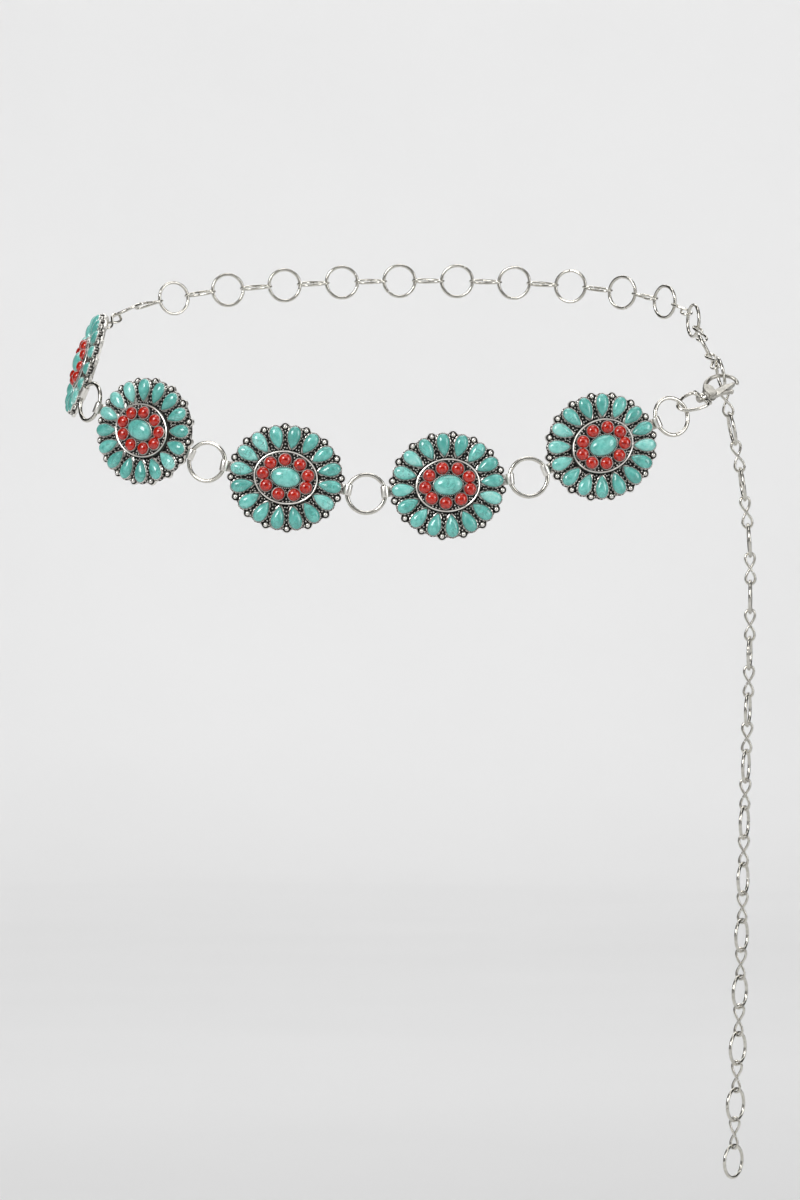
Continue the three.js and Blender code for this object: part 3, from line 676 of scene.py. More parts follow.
# %% Lay the back chain
# How firmly the end rings turn the links next to them, and how fast that fades
HOLD, FADE = 40.0, 5
BACK_SEAM_STEP = 99
back = collected()
count = len(places) - 2
for i in range(1, count + 1):
    along = (places[i + 1] - places[i - 1]).normalized()
    level = along.cross(UP).normalized()
    facing = level + first_facing * (HOLD / FADE ** i)
    facing += hooked_facing * (HOLD / FADE ** (count + 1 - i))
    facing = (facing - along * facing.dot(along)).normalized()
    if i % 2:
        facing = facing.cross(along).normalized()
    place = placing(places[i], along, facing)
    place.translation = places[i] * MM
    if i % 2 == 0:
        place = place @ Matrix.Rotation(math.radians(BACK_SEAM_STEP * i), 4, "Z")
    add_copy(back, eight if i % 2 else chain_ring, place)
back_mesh = bench_mesh(back, "back chain")
lay_piece("back_chain_links", back_mesh, Matrix.Identity(4), BRIGHT_SILVER,
          ["back_chain"])
report("back chain", back_mesh)

# %% [markdown]
# ## The concho
# A concho is built up from a flat plate: pear-shaped turquoise in bezels all round, a bead
# in each notch, an oval of wire on a raised floor, nine red stones and a centre stone. It
# is made once on the bench: x along the belt, y up, z outwards, the plate's back at z = 0.

# %% Outlines of the concho
CONCHO_HALF_LENGTH, CONCHO_HALF_HEIGHT = 27.0, 25.0
PETAL_COUNT, PETAL_LENGTH, PETAL_WIDTH = 16, 12.6, 7.5
PETAL_END = 0.45
# The pear outline: how fast it narrows, its widest share, and how far its point moves in
PETAL_TAPER, PETAL_WIDEST, POINT_PULL = 0.62, 0.835, 0.3
STONE_INSET, STONE_MIDDLE = 0.7, 0.9
BEAD_RADIUS, BEAD_HALF_LENGTH, BEAD_HALF_HEIGHT = 1.15, 26.3, 24.2
BEAD_HEIGHT, BEAD_CLEAR = 2.15, 1.2
LOBE_RADIUS = 1.95
PLATE_MARGIN, PLATE_TOP, GRAIN_FLOOR = 0.2, 1.4, 2.3


def oval(half_length, half_height):
    return lambda turn, inset: (
        (half_length - inset) * math.cos(turn), (half_height - inset) * math.sin(turn))


def teardrop(turn, inset):
    """Round end towards +x. The point moves in faster than the sides, as on a real bezel."""
    half_length = PETAL_LENGTH / 2 - (1 + POINT_PULL) * inset
    half_width = (PETAL_WIDTH / 2 - inset) / PETAL_WIDEST
    return (half_length * math.cos(turn) + POINT_PULL * inset,
            half_width * math.sin(turn) * abs(math.cos(turn / 2)) ** PETAL_TAPER)


def teardrop_dome(turn, shrink):
    """The same outline shrunk towards a middle nearer to its round end."""
    x, y = teardrop(turn, STONE_INSET)
    return (STONE_MIDDLE + (x - STONE_MIDDLE) * (1 - shrink), y * (1 - shrink))


petal_turns = [i * math.tau / PETAL_COUNT for i in range(PETAL_COUNT)]
notch_turns = [math.pi / PETAL_COUNT + turn for turn in petal_turns]
bead_places = [(BEAD_HALF_LENGTH * math.cos(turn), BEAD_HALF_HEIGHT * math.sin(turn))
               for turn in notch_turns]


def plate_edge(turn, inset):
    """The plate's edge: an oval that swells into a round lobe behind each bead."""
    x, y = oval(CONCHO_HALF_LENGTH, CONCHO_HALF_HEIGHT)(turn, PLATE_MARGIN)
    ray = Vector((x, y)).normalized()
    reach = math.hypot(x, y)
    for bead in map(Vector, bead_places):
        across = bead - ray * bead.dot(ray)
        if bead.dot(ray) > 0 and across.length < LOBE_RADIUS:
            reach = max(reach, bead.dot(ray) + math.sqrt(LOBE_RADIUS ** 2 - across.length ** 2))
    return tuple(ray * (reach - inset))


# %% [markdown]
# The plate has a thin raised rim. Each pear stone stands in two rows of silver: a milled
# outer strip, whose teeth catch the light one by one, and a smooth lip that holds the stone.

# %% Plate and bezels
plate = bench_mesh(raised(plate_edge, [
    (0.45, 0.0, 0.62, 0), (0.08, 0.15, 0.7, 0), (0.0, 0.5, 0.8, 0), (0.0, 1.5, 0.85, 0),
    (0.08, 1.75, 0.95, 0), (0.26, 1.75, 0.7, 0), (0.36, PLATE_TOP, 0.05, 0),
    (2.4, PLATE_TOP, 0.0, 0), (2.9, GRAIN_FLOOR, 0.0, 0), (4.0, GRAIN_FLOOR, 0.0, 0)], 320),
    "plate")

petal_bezel = bench_mesh(raised(teardrop, [
    (0.14, 1.25, 0.0, 0), (0.0, 1.8, 0.45, 0.2), (0.0, 2.8, 1.0, 0.22),
    (0.1, 3.15, 1.1, 0.2), (0.34, 3.25, 1.1, 0.14), (0.4, 3.15, 0.8, 0), (0.43, 2.7, 0.0, 0),
    (0.49, 2.7, 0.0, 0), (0.5, 3.7, 0.9, 0), (0.55, 3.85, 1.15, 0), (0.74, 3.85, 1.1, 0),
    (0.8, 2.4, 0.0, 0)],
    54, teeth=True), "petal bezel")


# Heights of a stone's foot, its edge and its top
PETAL_HEIGHTS = (2.5, 3.75, 5.95)


def dome_levels(foot, edge, top, steps=9):
    """A straight side, then a cabochon's dome: (shrink, height, shine, tooth depth)."""
    levels = [(0.02, foot, 1.0, 0), (0.0, edge - 0.15, 1.0, 0)]
    for i in range(steps):
        lift = math.radians(88) * i / (steps - 1)
        levels.append((1 - math.cos(lift), edge + (top - edge) * math.sin(lift), 1.0, 0))
    return levels


petal_stone = bench_mesh(
    raised(teardrop_dome, dome_levels(*PETAL_HEIGHTS), 48, lid="pole"), "petal stone", 80)
report("plate, petal bezel and petal stone", plate, petal_bezel, petal_stone)

# %% [markdown]
# Inside the petals a raised floor carries an oval of wire and the red stones, each in a thin
# milled cup. The dome of a round or oval stone only needs its outline shrunk evenly.

# %% Floor, wire oval, red stones and centre stone
OVAL_HALF_LENGTH, OVAL_HALF_HEIGHT, OVAL_FLOOR = 15.4, 12.8, 4.6
RED_COUNT, RED_RADIUS = 9, 2.98
RED_HALF_LENGTH, RED_HALF_HEIGHT = 11.0, 8.4
RED_CUP = 3.38
RED_HEIGHTS = (4.7, 5.55, 7.95)
STONE_HALF_LENGTH, STONE_HALF_HEIGHT = 6.9, 4.75
STONE_HEIGHTS = (3.75, 6.1, 9.15)
CENTRE_CUP_LENGTH, CENTRE_CUP_HEIGHT = 7.5, 5.35
WIRE_RADIUS, WIRE_INSET, WIRE_HEIGHT, WIRE_SIDES = 0.42, 0.45, 4.85, 8


def shrunk_oval(half_length, half_height):
    return lambda turn, shrink: (
        half_length * (1 - shrink) * math.cos(turn), half_height * (1 - shrink) * math.sin(turn))


floor = bench_mesh(raised(oval(OVAL_HALF_LENGTH, OVAL_HALF_HEIGHT), [
    (0.0, 1.2, 0.1, 0), (0.0, 3.9, 0.35, 0), (0.2, OVAL_FLOOR, 0.1, 0),
    (0.9, OVAL_FLOOR, 0.0, 0)], 96), "oval floor")

wire_turns = [math.tau * i / WIRE_SIDES for i in range(WIRE_SIDES)]
wire_oval = bench_mesh(raised(oval(OVAL_HALF_LENGTH, OVAL_HALF_HEIGHT), [
    (WIRE_INSET - WIRE_RADIUS * math.cos(turn), WIRE_HEIGHT + WIRE_RADIUS * math.sin(turn),
     0.6 + 0.5 * math.sin(turn), 0) for turn in wire_turns],
    176, foot=False, lid="ring"), "wire oval")

red_cup = bench_mesh(raised(oval(RED_CUP, RED_CUP), [
    (0.04, 4.1, 0.05, 0), (0.0, 4.7, 0.4, 0.08), (0.0, 5.5, 0.85, 0.1), (0.08, 5.75, 1.0, 0.06),
    (0.34, 5.75, 0.9, 0), (0.48, 5.55, 0.1, 0), (0.5, 4.6, 0.0, 0)], 56, teeth=True), "red cup")
red_stone = bench_mesh(raised(shrunk_oval(RED_RADIUS, RED_RADIUS),
                              dome_levels(*RED_HEIGHTS), 32, lid="pole"), "red stone", 80)

centre_cup = bench_mesh(raised(oval(CENTRE_CUP_LENGTH, CENTRE_CUP_HEIGHT), [
    (0.05, 4.1, 0.05, 0), (0.0, 4.8, 0.4, 0.16), (0.0, 5.9, 0.9, 0.2), (0.1, 6.2, 1.0, 0.14),
    (0.36, 6.25, 0.9, 0.04), (0.56, 6.05, 0.1, 0), (0.6, 4.6, 0.0, 0)], 92, teeth=True),
    "centre cup")
centre_stone = bench_mesh(raised(shrunk_oval(STONE_HALF_LENGTH, STONE_HALF_HEIGHT),
                                 dome_levels(*STONE_HEIGHTS, 11), 64, lid="pole"),
                          "centre stone", 80)
report("red cup, red stone, centre cup, centre stone",
       red_cup, red_stone, centre_cup, centre_stone)

# %% [markdown]
# The hollows between the stones are filled with grains: tiny balls of silver soldered down
# in rows. Rows run along the middle of each gap and round the settings, and a loose
# triangular grid fills what is left. A grain is kept only where it clears every setting
# and every grain laid before it.

# %% Grains of silver
GRAIN_RADIUS, GRAIN_SPACING, GRAIN_RISE = 0.40, 1.14, 0.2
# Rows of a triangular grid stand closer than the grains in a row
ROW_SHARE = 0.87
GAP_ROW_START, GAP_ROW_END = 25.2, 16.2
OUTER_CLEARANCE, INNER_CLEARANCE = GRAIN_RADIUS + 0.06, GRAIN_RADIUS + 0.04


def outline_points(outline, count, place=Matrix.Identity(4)):
    turns = [math.tau * i / count for i in range(count)]
    return [(place @ Vector((*outline(turn, 0), 0))).xy for turn in turns]


petal_places = []
for turn in petal_turns:
    end = Vector(((CONCHO_HALF_LENGTH + PETAL_END) * math.cos(turn),
                  (CONCHO_HALF_HEIGHT + PETAL_END) * math.sin(turn), 0))
    middle = end.normalized() * (end.length - PETAL_LENGTH / 2)
    petal_places.append(Matrix.Translation(middle)
                        @ Matrix.Rotation(math.atan2(end.y, end.x), 4, "Z"))
red_turns = [math.pi - math.tau * i / RED_COUNT for i in range(RED_COUNT)]
red_places = [Matrix.Translation((RED_HALF_LENGTH * math.cos(turn),
                                  RED_HALF_HEIGHT * math.sin(turn), 0)) for turn in red_turns]

petal_outlines = [outline_points(teardrop, 60, place) for place in petal_places]
red_outlines = [outline_points(oval(RED_CUP, RED_CUP), 36, place) for place in red_places]
centre_outline = outline_points(oval(CENTRE_CUP_LENGTH, CENTRE_CUP_HEIGHT), 60)
floor_outline = outline_points(oval(OVAL_HALF_LENGTH, OVAL_HALF_HEIGHT), 90)
bead_outlines = [[Vector((x + BEAD_CLEAR * math.cos(turn), y + BEAD_CLEAR * math.sin(turn)))
                  for turn in np.linspace(0, math.tau, 16)] for x, y in bead_places]


def within(points, spots):
    """Which spots lie inside a closed outline."""
    inside = np.zeros(len(spots), bool)
    for (x1, y1), (x2, y2) in zip(points, [*points[1:], points[0]]):
        crosses = (y1 > spots[:, 1]) != (y2 > spots[:, 1])
        meets = x1 + (spots[:, 1] - y1) * (x2 - x1) / ((y2 - y1) or 1e-9)
        inside ^= crosses & (spots[:, 0] < meets)
    return inside


def grain_spots(settings, border, rows, clearance):
    """Rows first, then a triangular grid, thinned until nothing touches."""
    grid = [(x * GRAIN_SPACING + (y % 2) * GRAIN_SPACING / 2, y * GRAIN_SPACING * ROW_SHARE)
            for y in range(-36, 37) for x in range(-38, 39)]
    spots = np.array([*rows, *grid])
    clear = within(border, spots)
    for points in settings:
        clear &= ~within(points, spots)
    walls = np.array([tuple(p) for points in [*settings, border] for p in points])
    spots = spots[clear]
    gaps = np.linalg.norm(spots[:, None] - walls[None], axis=2).min(axis=1)
    least = GRAIN_SPACING * 0.97
    laid = []
    for spot in spots[gaps > clearance]:
        if not laid or np.linalg.norm(np.array(laid) - spot, axis=1).min() > least:
            laid.append(spot)
    return laid


flatness = CONCHO_HALF_HEIGHT / CONCHO_HALF_LENGTH
gap_rows = [(reach * math.cos(turn), reach * flatness * math.sin(turn))
            for turn in notch_turns
            for reach in np.arange(GAP_ROW_START, GAP_ROW_END, -GRAIN_SPACING)]
floor_row = outline_points(oval(OVAL_HALF_LENGTH - 1.4, OVAL_HALF_HEIGHT - 1.4), 100)
floor_rows = [tuple(point) for point in floor_row]
plate_border = outline_points(plate_edge, 240)
outer_grains = grain_spots([*petal_outlines, floor_outline, *bead_outlines],
                           [p * 0.985 for p in plate_border], gap_rows, OUTER_CLEARANCE)
inner_border = outline_points(oval(OVAL_HALF_LENGTH - 0.95, OVAL_HALF_HEIGHT - 0.95), 90)
inner_grains = grain_spots([*red_outlines, centre_outline], inner_border, floor_rows,
                           INNER_CLEARANCE)
print("grains:", len(outer_grains), "outside and", len(inner_grains), "inside the wire oval")


def ball(name, radius, rings, low=0.05, polish=1.0):
    """A ball that is bright on top and black where it meets the plate."""
    bm = bmesh.new()
    shine_of = bm.verts.layers.float.new("shine")
    if rings:
        bmesh.ops.create_uvsphere(bm, u_segments=2 * rings, v_segments=rings, radius=radius)
    else:
        bmesh.ops.create_icosphere(bm, subdivisions=2, radius=radius)
    for corner in bm.verts:
        corner[shine_of] = min(polish, max(low, 0.4 + 1.1 * corner.co.z / radius))
    return bench_mesh(bm, name, 80)


grain = ball("grain", GRAIN_RADIUS, 0)
bead = ball("bead", BEAD_RADIUS, 10, 0.2, 1.45)

# %% [markdown]
# The strip that holds a link ring leaves under the plate and rolls round the ring's wire.
# An edge as wide as the strip is drawn straight out, then spun about the roll's axis.

# %% Folded tab
TAB_WIDTH, TAB_WALL, TAB_REACH, TAB_BORE = 5.0, 0.4, 30.0, 1.75
TAB_START, TAB_ROLL, TAB_FLARE, TAB_EDGE = 24.0, 296, 0.09, 0.09
# Painted shade darkens the tab's strip up to here, a little past the plate's edge
TAB_SHADE_END = 27.6


def folded_tab():
    bm = bmesh.new()
    shine_of = bm.verts.layers.float.new("shine")
    roll = TAB_BORE + TAB_WALL / 2
    start = [bm.verts.new((TAB_START, side * TAB_WIDTH / 2, TAB_WALL / 2))
             for side in (-1, 0, 1)]
    edges = [bm.edges.new(start[:2]), bm.edges.new(start[1:])]
    drawn = bmesh.ops.extrude_edge_only(bm, edges=edges)["geom"]
    bmesh.ops.translate(bm, vec=(TAB_REACH - TAB_START, 0, 0), verts=corners_in(drawn))
    far = [edge for edge in bm.edges if all(c.co.x > TAB_REACH - 0.01 for c in edge.verts)]
    bmesh.ops.spin(bm, geom=far, cent=(TAB_REACH, 0, TAB_BORE + TAB_WALL), axis=(0, -1, 0),
                   angle=math.radians(TAB_ROLL), steps=26)
    bmesh.ops.remove_doubles(bm, verts=bm.verts, dist=1e-4)
    for corner in bm.verts:
        out = max(0.0, corner.co.x - TAB_REACH) / roll
        corner.co.y *= 1 + TAB_FLARE * out
    bmesh.ops.recalc_face_normals(bm, faces=bm.faces)
    bmesh.ops.solidify(bm, geom=bm.faces, thickness=TAB_WALL)
    sharp = [edge for edge in bm.edges if len(edge.link_faces) == 2
             and edge.calc_face_angle() > math.radians(60)]
    bmesh.ops.bevel(bm, geom=sharp, offset=TAB_EDGE, segments=2, profile=0.5, affect="EDGES",
                    material=-1)
    for corner in bm.verts:
        # Painted shade: the strip is darker from under the plate to a little past its edge, where
        # the plate shades it; the rolled loop stays bright.
        corner[shine_of] = 0.62 if corner.co.x < TAB_SHADE_END else 0.95
    return bench_mesh(bm, "folded tab", 35)


tab = folded_tab()
report("grain, bead and tab", grain, bead, tab)

# %% [markdown]
# All the silver of a concho is one mesh, and so are its petals and its red stones. Each
# stone gets a `tone` of its own, so no two look alike. The same concho is laid five times.

# %% Put the concho together
SEED = 4
dice = random.Random(SEED)


def joined_mesh(bm, name):
    """Close a bmesh whose parts keep the smooth faces and sharp edges that they came with."""
    mesh = bpy.data.meshes.new(name)
    bm.to_mesh(mesh)
    bm.free()
    return mesh


def set_stones(name, stone, places):
    """A stone at each place, each with a tone of its own."""
    stones = collected("turn", "shine", "tone")
    for place in places:
        add_copy(stones, stone, place, dice.uniform(-1, 1))
    return joined_mesh(stones, name)


metal = collected("turn", "shine")
for part in (plate, floor, wire_oval, centre_cup, tab):
    add_copy(metal, part)
add_copy(metal, tab, Matrix.Rotation(math.pi, 4, "Z"))
for place in petal_places:
    add_copy(metal, petal_bezel, place)
for place in red_places:
    add_copy(metal, red_cup, place)
for ball_mesh, spots, height in [(bead, bead_places, BEAD_HEIGHT),
                                 (grain, outer_grains, GRAIN_FLOOR + GRAIN_RISE),
                                 (grain, inner_grains, OVAL_FLOOR + GRAIN_RISE)]:
    for x, y in spots:
        add_copy(metal, ball_mesh, Matrix.Translation((x, y, height)))
metal_mesh = joined_mesh(metal, "concho metal")
petals_mesh = set_stones("petal stones", petal_stone, petal_places)
reds_mesh = set_stones("red stones", red_stone, red_places)
report("concho metal, petals, reds", metal_mesh, petals_mesh, reds_mesh)

# %% Lay the five conchos
for number, place in enumerate(concho_places, start=1):
    lay_piece(f"concho_{number}_metal", metal_mesh, place, ANTIQUE_SILVER,
              [f"concho_{number}"])
    lay_piece(f"concho_{number}_petals", petals_mesh, place, TURQUOISE)
    lay_piece(f"concho_{number}_reds", reds_mesh, place, CORAL)
    lay_piece(f"concho_{number}_centre", centre_stone, place, TURQUOISE,
              [f"centre_stone_{number}"])

# %% [markdown]
# ## The snap hook
# The clasp is cast in three parts: a D-shaped eye that swivels, a hook with a riveted post,
# and a sprung gate on a pin. Its frame comes from the pin's place, which the record's joint
# gives, and from given angles that raise the hook's own axis along the belt's end.

# %% The clasp's frame
CLASP_RISE, CLASP_YAW, CLASP_ROLL, EYE_TWIST = 25.5, 31.0, 40.0, -9.0
HINGE_ALONG, HINGE_ACROSS = 2.4, -1.4
rise, yaw = math.radians(CLASP_RISE), math.radians(CLASP_YAW)
clasp_axis = Vector((math.cos(yaw) * math.cos(rise), math.sin(yaw),
                     math.cos(yaw) * math.sin(rise)))
far_side = Vector((-clasp_axis.y, clasp_axis.x, 0)).normalized()
bow_side = Matrix.Rotation(math.radians(CLASP_ROLL), 3, clasp_axis) @ far_side
loop_normal = clasp_axis.cross(bow_side)
pin_place = Vector(frame["joints"][0]["pos_m"])
hook_foot = pin_place - (clasp_axis * HINGE_ALONG + bow_side * HINGE_ACROSS) * MM
clasp_place = placing(hook_foot, clasp_axis, loop_normal)
eye_place = clasp_place @ Matrix.Rotation(math.radians(EYE_TWIST), 4, "X")
print("clasp foot:", tuple(round(v, 4) for v in hook_foot))

# %% Wire along a curve
EYE_WIRE, EYE_DEPTH, EYE_HALF_WIDTH = 0.85, 14.6, 6.0
CAST_SHARP = 20
COLLAR_LENGTH, BOSS_LENGTH, BOSS_RADIUS = 1.3, 2.6, 2.1
BAR_ALONG = -(COLLAR_LENGTH + GAP + BOSS_LENGTH / 2)


def curve_wire(name, points, radius, thickness=None):
    """A smooth round wire through points; thickness gives each point its share of the radius."""
    wire = bpy.data.curves.new(name, "CURVE")
    wire.dimensions = "3D"
    wire.bevel_depth = radius
    wire.bevel_resolution = 8
    wire.resolution_u = 10
    wire.use_fill_caps = True
    path = wire.splines.new("BEZIER")
    path.bezier_points.add(len(points) - 1)
    for i, (knot, place) in enumerate(zip(path.bezier_points, points)):
        knot.co = place
        knot.handle_left_type = knot.handle_right_type = "AUTO"
        knot.radius = thickness[i] if thickness else 1.0
    holder = bpy.data.objects.new(name, wire)
    bpy.context.scene.collection.objects.link(holder)
    bpy.context.view_layer.update()
    mesh = bpy.data.meshes.new_from_object(
        holder.evaluated_get(bpy.context.evaluated_depsgraph_get()))
    bpy.data.objects.remove(holder)
    return mesh


def cast_plate(outline, thickness, bevel, across=lambda x: 1.0):
    """A flat casting: an outline in x, y with thickness in z, its edges rounded."""
    bm = bmesh.new()
    face = bm.faces.new([bm.verts.new((x, y, -thickness / 2)) for x, y in outline])
    risen = bmesh.ops.extrude_face_region(bm, geom=[face])["geom"]
    bmesh.ops.translate(bm, vec=(0, 0, thickness), verts=corners_in(risen))
    for corner in bm.verts:
        corner.co.z *= across(corner.co.x)
    bmesh.ops.recalc_face_normals(bm, faces=bm.faces)
    bmesh.ops.bevel(bm, geom=bm.edges, offset=bevel, segments=2, profile=0.5,
                    affect="EDGES", material=-1)
    return bm


def turned_part(profile, steps=28):
    """A round part spun about the x axis from (along, radius) points."""
    bm = bmesh.new()
    corners = [bm.verts.new((along, radius, 0)) for along, radius in profile]
    edges = [bm.edges.new(pair) for pair in zip(corners, corners[1:])]
    bmesh.ops.spin(bm, geom=[*corners, *edges], cent=(0, 0, 0), axis=(1, 0, 0), angle=math.tau,
                   steps=steps, use_merge=True)
    bmesh.ops.remove_doubles(bm, verts=bm.verts, dist=1e-4)
    return bm


# %% [markdown]
# The eye is round wire bent to a D and closed by a flat bar, which a short tube crosses.
# The tube turns on the hook's post.

# %% Swivel eye
BAR_HALF_DEPTH, BAR_START, BAR_END, BAR_THICKNESS = 1.0, 1.35, 6.2, 1.5
HOLE = 1.25
EYE_OUTLINE = [(0, 0.6), (0.08, 0.93), (0.35, 1.0), (0.68, 0.8), (0.92, 0.42), (1.0, 0.0)]
half_eye = [Vector((BAR_ALONG - back_share * EYE_DEPTH, across * EYE_HALF_WIDTH, 0))
            for back_share, across in EYE_OUTLINE]
eye_path = half_eye + [Vector((p.x, -p.y, 0)) for p in reversed(half_eye[:-1])]
eye = collected()
add_copy(eye, curve_wire("eye wire", eye_path, EYE_WIRE))
for side in (-1, 1):
    bar = cast_plate([(BAR_ALONG + end * BAR_HALF_DEPTH, side * across) for end, across in (
        (-1, BAR_START), (1, BAR_START), (1, BAR_END), (-1, BAR_END))], BAR_THICKNESS, 0.22)
    add_copy(eye, bench_mesh(bar, "eye bar"))
tube = turned_part([(BAR_ALONG + x, r) for x, r in [
    (-1.3, HOLE), (-1.3, 1.85), (-1.05, BOSS_RADIUS), (1.05, BOSS_RADIUS), (1.3, 1.85),
    (1.3, HOLE), (-1.3, HOLE)]])
add_copy(eye, bench_mesh(tube, "eye tube"))
eye_mesh = bench_mesh(eye, "swivel eye", CAST_SHARP)
lay_piece("swivel_eye_cast", eye_mesh, eye_place, BRIGHT_SILVER, ["swivel_eye"])

# %% [markdown]
# The hook's foot is a forked block. Its edges are rounded first, as a caster would file them,
# and then the fork is cut with a Boolean. The bow grows thinner towards its tip.

# %% Hook with its post
HOOK_LENGTH, HOOK_SPREAD, HOOK_WIRE, HOOK_THICKNESS = 20.4, 9.5, 0.95, 4.4
GATE_THICKNESS, KNUCKLE, GATE_OPEN = 1.7, 1.7, 11.0
TIP_SHARE = 0.9
TOP, LOW = HINGE_ACROSS + KNUCKLE, HINGE_ACROSS - KNUCKLE
BOW_OUTLINE = [(0.06, 0.22), (0.15, 0.5), (0.34, 0.8), (0.58, 0.88), (0.76, 0.76),
               (0.89, 0.53), (0.953, 0.26), (0.95, 0.03), (0.915, -0.12)]


def fork_block():
    """The hook's foot, with a slot that the gate swings in."""
    knuckle_end = HINGE_ALONG + KNUCKLE
    block = bench_mesh(cast_plate([
        (-0.1, LOW + 0.6), (HINGE_ALONG, LOW), (knuckle_end, LOW + 0.4),
        (knuckle_end + 1.2, TOP + GAP + 1.6), (knuckle_end, TOP + 4.2),
        (HINGE_ALONG, TOP + 5.2), (0.6, TOP + 3.4), (-0.1, TOP + 1.4)],
        HOOK_THICKNESS, 0.35), "fork block")
    swing = (HOOK_LENGTH - HINGE_ALONG) * math.tan(math.radians(GATE_OPEN + 2))
    slot_start, slot_top = HINGE_ALONG - KNUCKLE - GAP, TOP + GAP
    slot = bench_mesh(cast_plate([
        (slot_start, LOW - 1), (HOOK_LENGTH, LOW - 1), (HOOK_LENGTH, slot_top + swing),
        (HINGE_ALONG, slot_top), (slot_start, slot_top)], GATE_THICKNESS + 2 * GAP, 0.05), "slot")
    holder = bpy.data.objects.new("fork", block)
    cutter = bpy.data.objects.new("slot", slot)
    for part in (holder, cutter):
        bpy.context.scene.collection.objects.link(part)
    cut = holder.modifiers.new("slot", "BOOLEAN")
    cut.operation, cut.solver, cut.object = "DIFFERENCE", "EXACT", cutter
    bpy.context.view_layer.update()
    forked = bpy.data.meshes.new_from_object(
        holder.evaluated_get(bpy.context.evaluated_depsgraph_get()))
    bpy.data.objects.remove(holder)
    bpy.data.objects.remove(cutter)
    return forked


hook = collected()
add_copy(hook, fork_block())
add_copy(hook, curve_wire("bow", [(along * HOOK_LENGTH, across * HOOK_SPREAD, 0)
                                  for along, across in BOW_OUTLINE], HOOK_WIRE,
                          [1.5, 1.25, 1.1, 1.05, 1.0, 1.0, 1.0, 1.0, TIP_SHARE]))
tip = bmesh.new()
bmesh.ops.create_uvsphere(tip, u_segments=20, v_segments=12, radius=HOOK_WIRE * TIP_SHARE)
add_copy(hook, bench_mesh(tip, "bow tip"), Matrix.Translation(
    (BOW_OUTLINE[-1][0] * HOOK_LENGTH, BOW_OUTLINE[-1][1] * HOOK_SPREAD, 0)))
boss_back = BAR_ALONG - BOSS_LENGTH / 2 - GAP
post = turned_part([(boss_back - 1.3, 0.0), (boss_back - 1.3, 1.2), (boss_back - 0.9, 1.8),
                    (boss_back - 0.2, 1.9), (boss_back, 1.7), (boss_back, 0.95),
                    (-COLLAR_LENGTH, 0.95), (-COLLAR_LENGTH, 1.9), (-COLLAR_LENGTH + 0.2, 2.1),
                    (0.0, 2.1), (0.4, 1.9), (0.6, 0.0)])
add_copy(hook, bench_mesh(post, "post"))
pin = turned_part([(-2.35, 0.0), (-2.35, 0.62), (-2.2, 0.75), (2.2, 0.75), (2.35, 0.62),
                   (2.35, 0.0)], 24)
add_copy(hook, bench_mesh(pin, "pin"),
         Matrix.Translation((HINGE_ALONG, HINGE_ACROSS, 0)) @ Matrix.Rotation(math.pi / 2, 4, "Y"))
hook_mesh = bench_mesh(hook, "hook", CAST_SHARP)
lay_piece("clasp_hook_cast", hook_mesh, clasp_place, CAST_SILVER,
          ["clasp_hook"])

# %% [markdown]
# The gate is a thin bar in the fork, flattened out beyond it, with a thumb lever and a round
# knob below. It is the one piece that moves, so it rides on a body of its own.

# %% Gate with its thumb lever
LEVER_REACH, LEVER_DROP, KNOB_RADIUS = 12.4, 4.3, 0.95
GATE_END = HOOK_LENGTH * 0.915 - HOOK_WIRE - 0.5


def gate_width(along):
    """The gate's share of its thickness: 1 in the fork, broad beyond, narrower at the tip."""
    return float(np.interp(along, [5.6, 7.4, 12.0, GATE_END], [1.0, 1.75, 1.65, 1.25]))


gate = collected()
bar = cast_plate([(0.7, HINGE_ACROSS - 0.7), (HINGE_ALONG - 0.7, LOW), (HINGE_ALONG + 3.2, LOW),
                  (7.4, LOW + 0.1), (12.0, LOW + 0.7), (GATE_END, TOP - 1.7),
                  (GATE_END, TOP - 0.5), (12.0, TOP - 0.1), (7.4, TOP),
                  (HINGE_ALONG + 3.2, TOP), (HINGE_ALONG - 0.7, TOP), (0.7, HINGE_ACROSS + 0.7)],
                 GATE_THICKNESS, 0.22, gate_width)
add_copy(gate, bench_mesh(bar, "gate bar"))
lever = cast_plate([(HINGE_ALONG + 3.2, LOW + 0.2), (LEVER_REACH, -LEVER_DROP - 0.4),
                    (LEVER_REACH, -LEVER_DROP + 0.4), (HINGE_ALONG + 5.4, LOW + 1.1)],
                   GATE_THICKNESS, 0.2)
add_copy(gate, bench_mesh(lever, "lever"))
knob = turned_part([(-1.25, 0.0), (-1.25, 0.6), (-0.95, 0.9), (-0.4, KNOB_RADIUS),
                    (0.4, KNOB_RADIUS), (0.95, 0.9), (1.25, 0.6), (1.25, 0.0)], 20)
add_copy(gate, bench_mesh(knob, "knob"), Matrix.Translation((LEVER_REACH, -LEVER_DROP, 0))
         @ Matrix.Rotation(math.pi / 2, 4, "Y"))
gate_mesh = bench_mesh(gate, "gate", CAST_SHARP)
lay_piece("clasp_gate_cast", gate_mesh, clasp_place, CAST_SILVER,
          ["clasp_gate"], body="gate")
report("eye, hook and gate", eye_mesh, hook_mesh, gate_mesh)

# %% [markdown]
# ## Stage and light
# Polished wire only looks like metal when it has something to reflect. The room has a dark
# patch behind the camera, a bright ring round that patch and dark sides, which together draw
# light and dark lines along every wire. The floor and wall are one pale sheet without a
# corner. Soft boxes stand left, right and above, and two more wash the wall and the floor.

# %% Floor and wall in one sheet
FLOOR_HEIGHT, WALL_DISTANCE, BEND_RADIUS, SHEET_WIDTH = -0.47, 6.2, 1.2, 7.0
SHEET_FRONT, WALL_RISE = 5.0, 4.0


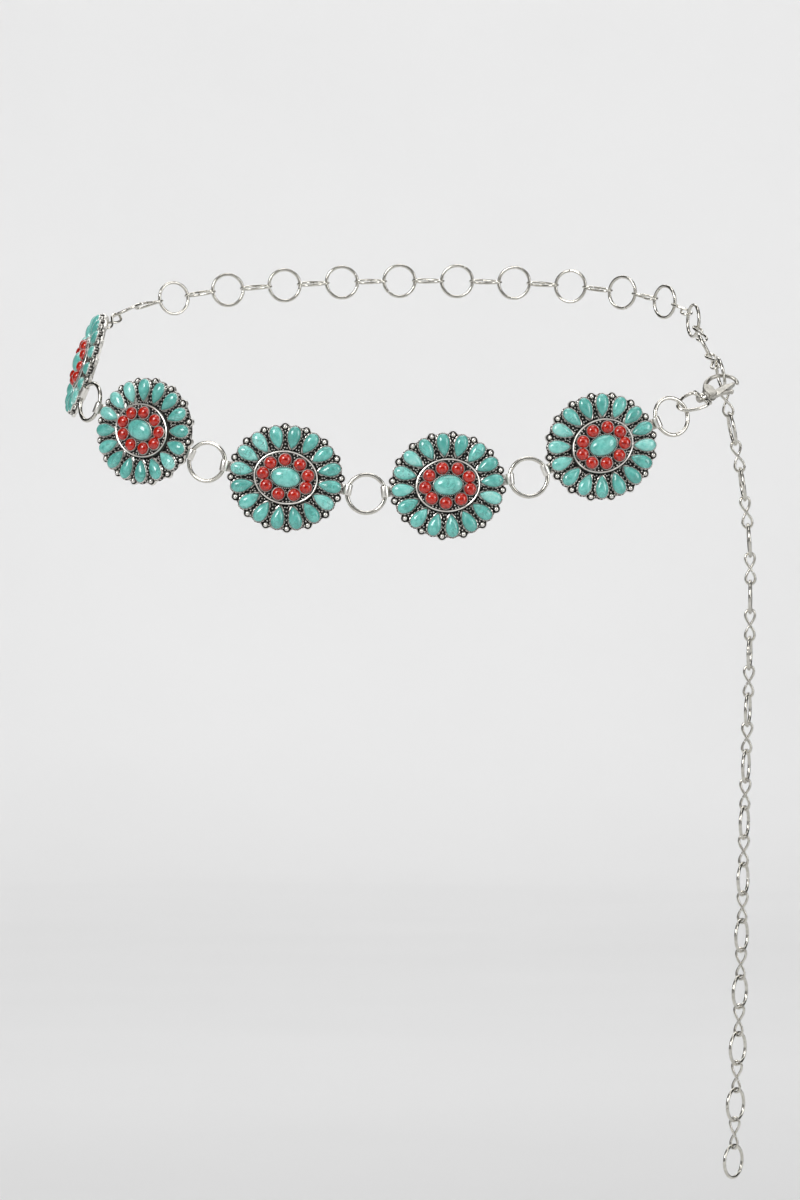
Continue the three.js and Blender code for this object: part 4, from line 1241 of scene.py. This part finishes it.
def backdrop():
    bm = bmesh.new()
    start = [bm.verts.new((side * SHEET_WIDTH / 2, -SHEET_FRONT, FLOOR_HEIGHT))
             for side in (-1, 1)]
    first = bm.edges.new(start)
    drawn = bmesh.ops.extrude_edge_only(bm, edges=[first])["geom"]
    bmesh.ops.translate(bm, vec=(0, SHEET_FRONT + WALL_DISTANCE - BEND_RADIUS, 0),
                        verts=corners_in(drawn))
    far = [edge for edge in edges_in(drawn) if all(c.co.y > 0 for c in edge.verts)]
    spun = bmesh.ops.spin(bm, geom=far, axis=(1, 0, 0), angle=math.radians(90), steps=24,
                          cent=(0, WALL_DISTANCE - BEND_RADIUS, FLOOR_HEIGHT + BEND_RADIUS))
    risen = bmesh.ops.extrude_edge_only(bm, edges=edges_in(spun["geom_last"]))["geom"]
    bmesh.ops.translate(bm, vec=(0, 0, WALL_RISE), verts=corners_in(risen))
    return bench_mesh(bm, "backdrop", 60)


paper, paper_tree, paper_shader = new_finish("pale paper")
paper_shader.inputs["Roughness"].default_value = 0.9
tint = ramp(paper_tree, object_noise(paper_tree, 1.2), (0.3, (0.80, 0.80, 0.80)),
            (0.7, (0.83, 0.83, 0.83)))
paper_tree.links.new(tint, paper_shader.inputs["Base Color"])
sheet_mesh = backdrop()
sheet_mesh.materials.append(paper)
sheet = bpy.data.objects.new("backdrop", sheet_mesh)
bpy.context.scene.collection.objects.link(sheet)


# %% Soft boxes
def soft_box(name, place, target, width, height, watts):
    """An oval area light at a place, turned towards a target."""
    light = bpy.data.lights.new(name, "AREA")
    light.shape = "ELLIPSE"
    light.size, light.size_y, light.energy = width, height, watts
    box = bpy.data.objects.new(name, light)
    box.location = place
    box.rotation_euler = (Vector(target) - Vector(place)).to_track_quat("-Z", "Y").to_euler()
    bpy.context.scene.collection.objects.link(box)


soft_box("key left", (-1.2, -1.8, 1.1), (0, 0, -0.05), 1.1, 1.1, 26)
soft_box("fill right", (1.9, -1.1, 0.5), (0, 0, -0.1), 0.9, 1.8, 12)
soft_box("top", (0.1, -0.3, 2.1), (0, 0, 0), 1.6, 0.9, 10)
soft_box("wall wash", (0.0, 4.3, 2.6), (0, 6.2, -0.2), 4.2, 0.8, 49)
soft_box("floor wash", (0.0, 1.7, 2.0), (0, 2.6, -0.47), 3.4, 2.0, 40)

# %% The room's own light
world = bpy.data.worlds.new("studio")
bpy.context.scene.world = world
world.use_nodes = True
room = world.node_tree
direction = add_node(room, "ShaderNodeTexCoord")
split = add_node(room, "ShaderNodeSeparateXYZ")
room.links.new(direction.outputs["Generated"], split.inputs[0])
# 0 is straight behind the camera, 0.5 is to the sides and 1 is behind the belt
shift = add_node(room, "ShaderNodeMath", operation="MULTIPLY_ADD")
room.links.new(split.outputs["Y"], shift.inputs[0])
shift.inputs[1].default_value = 0.5
shift.inputs[2].default_value = 0.5
glow = ramp(room, shift.outputs[0], (0.0, grey(0.03)), (0.06, grey(0.04)), (0.10, grey(0.85)),
            (0.25, grey(0.7)), (0.37, grey(0.02)), (0.78, grey(0.02)), (1.0, grey(0.6)))
room.links.new(glow, room.nodes["Background"].inputs["Color"])
room.nodes["Background"].inputs["Strength"].default_value = 0.85
bpy.context.scene.view_settings.view_transform = "Standard"
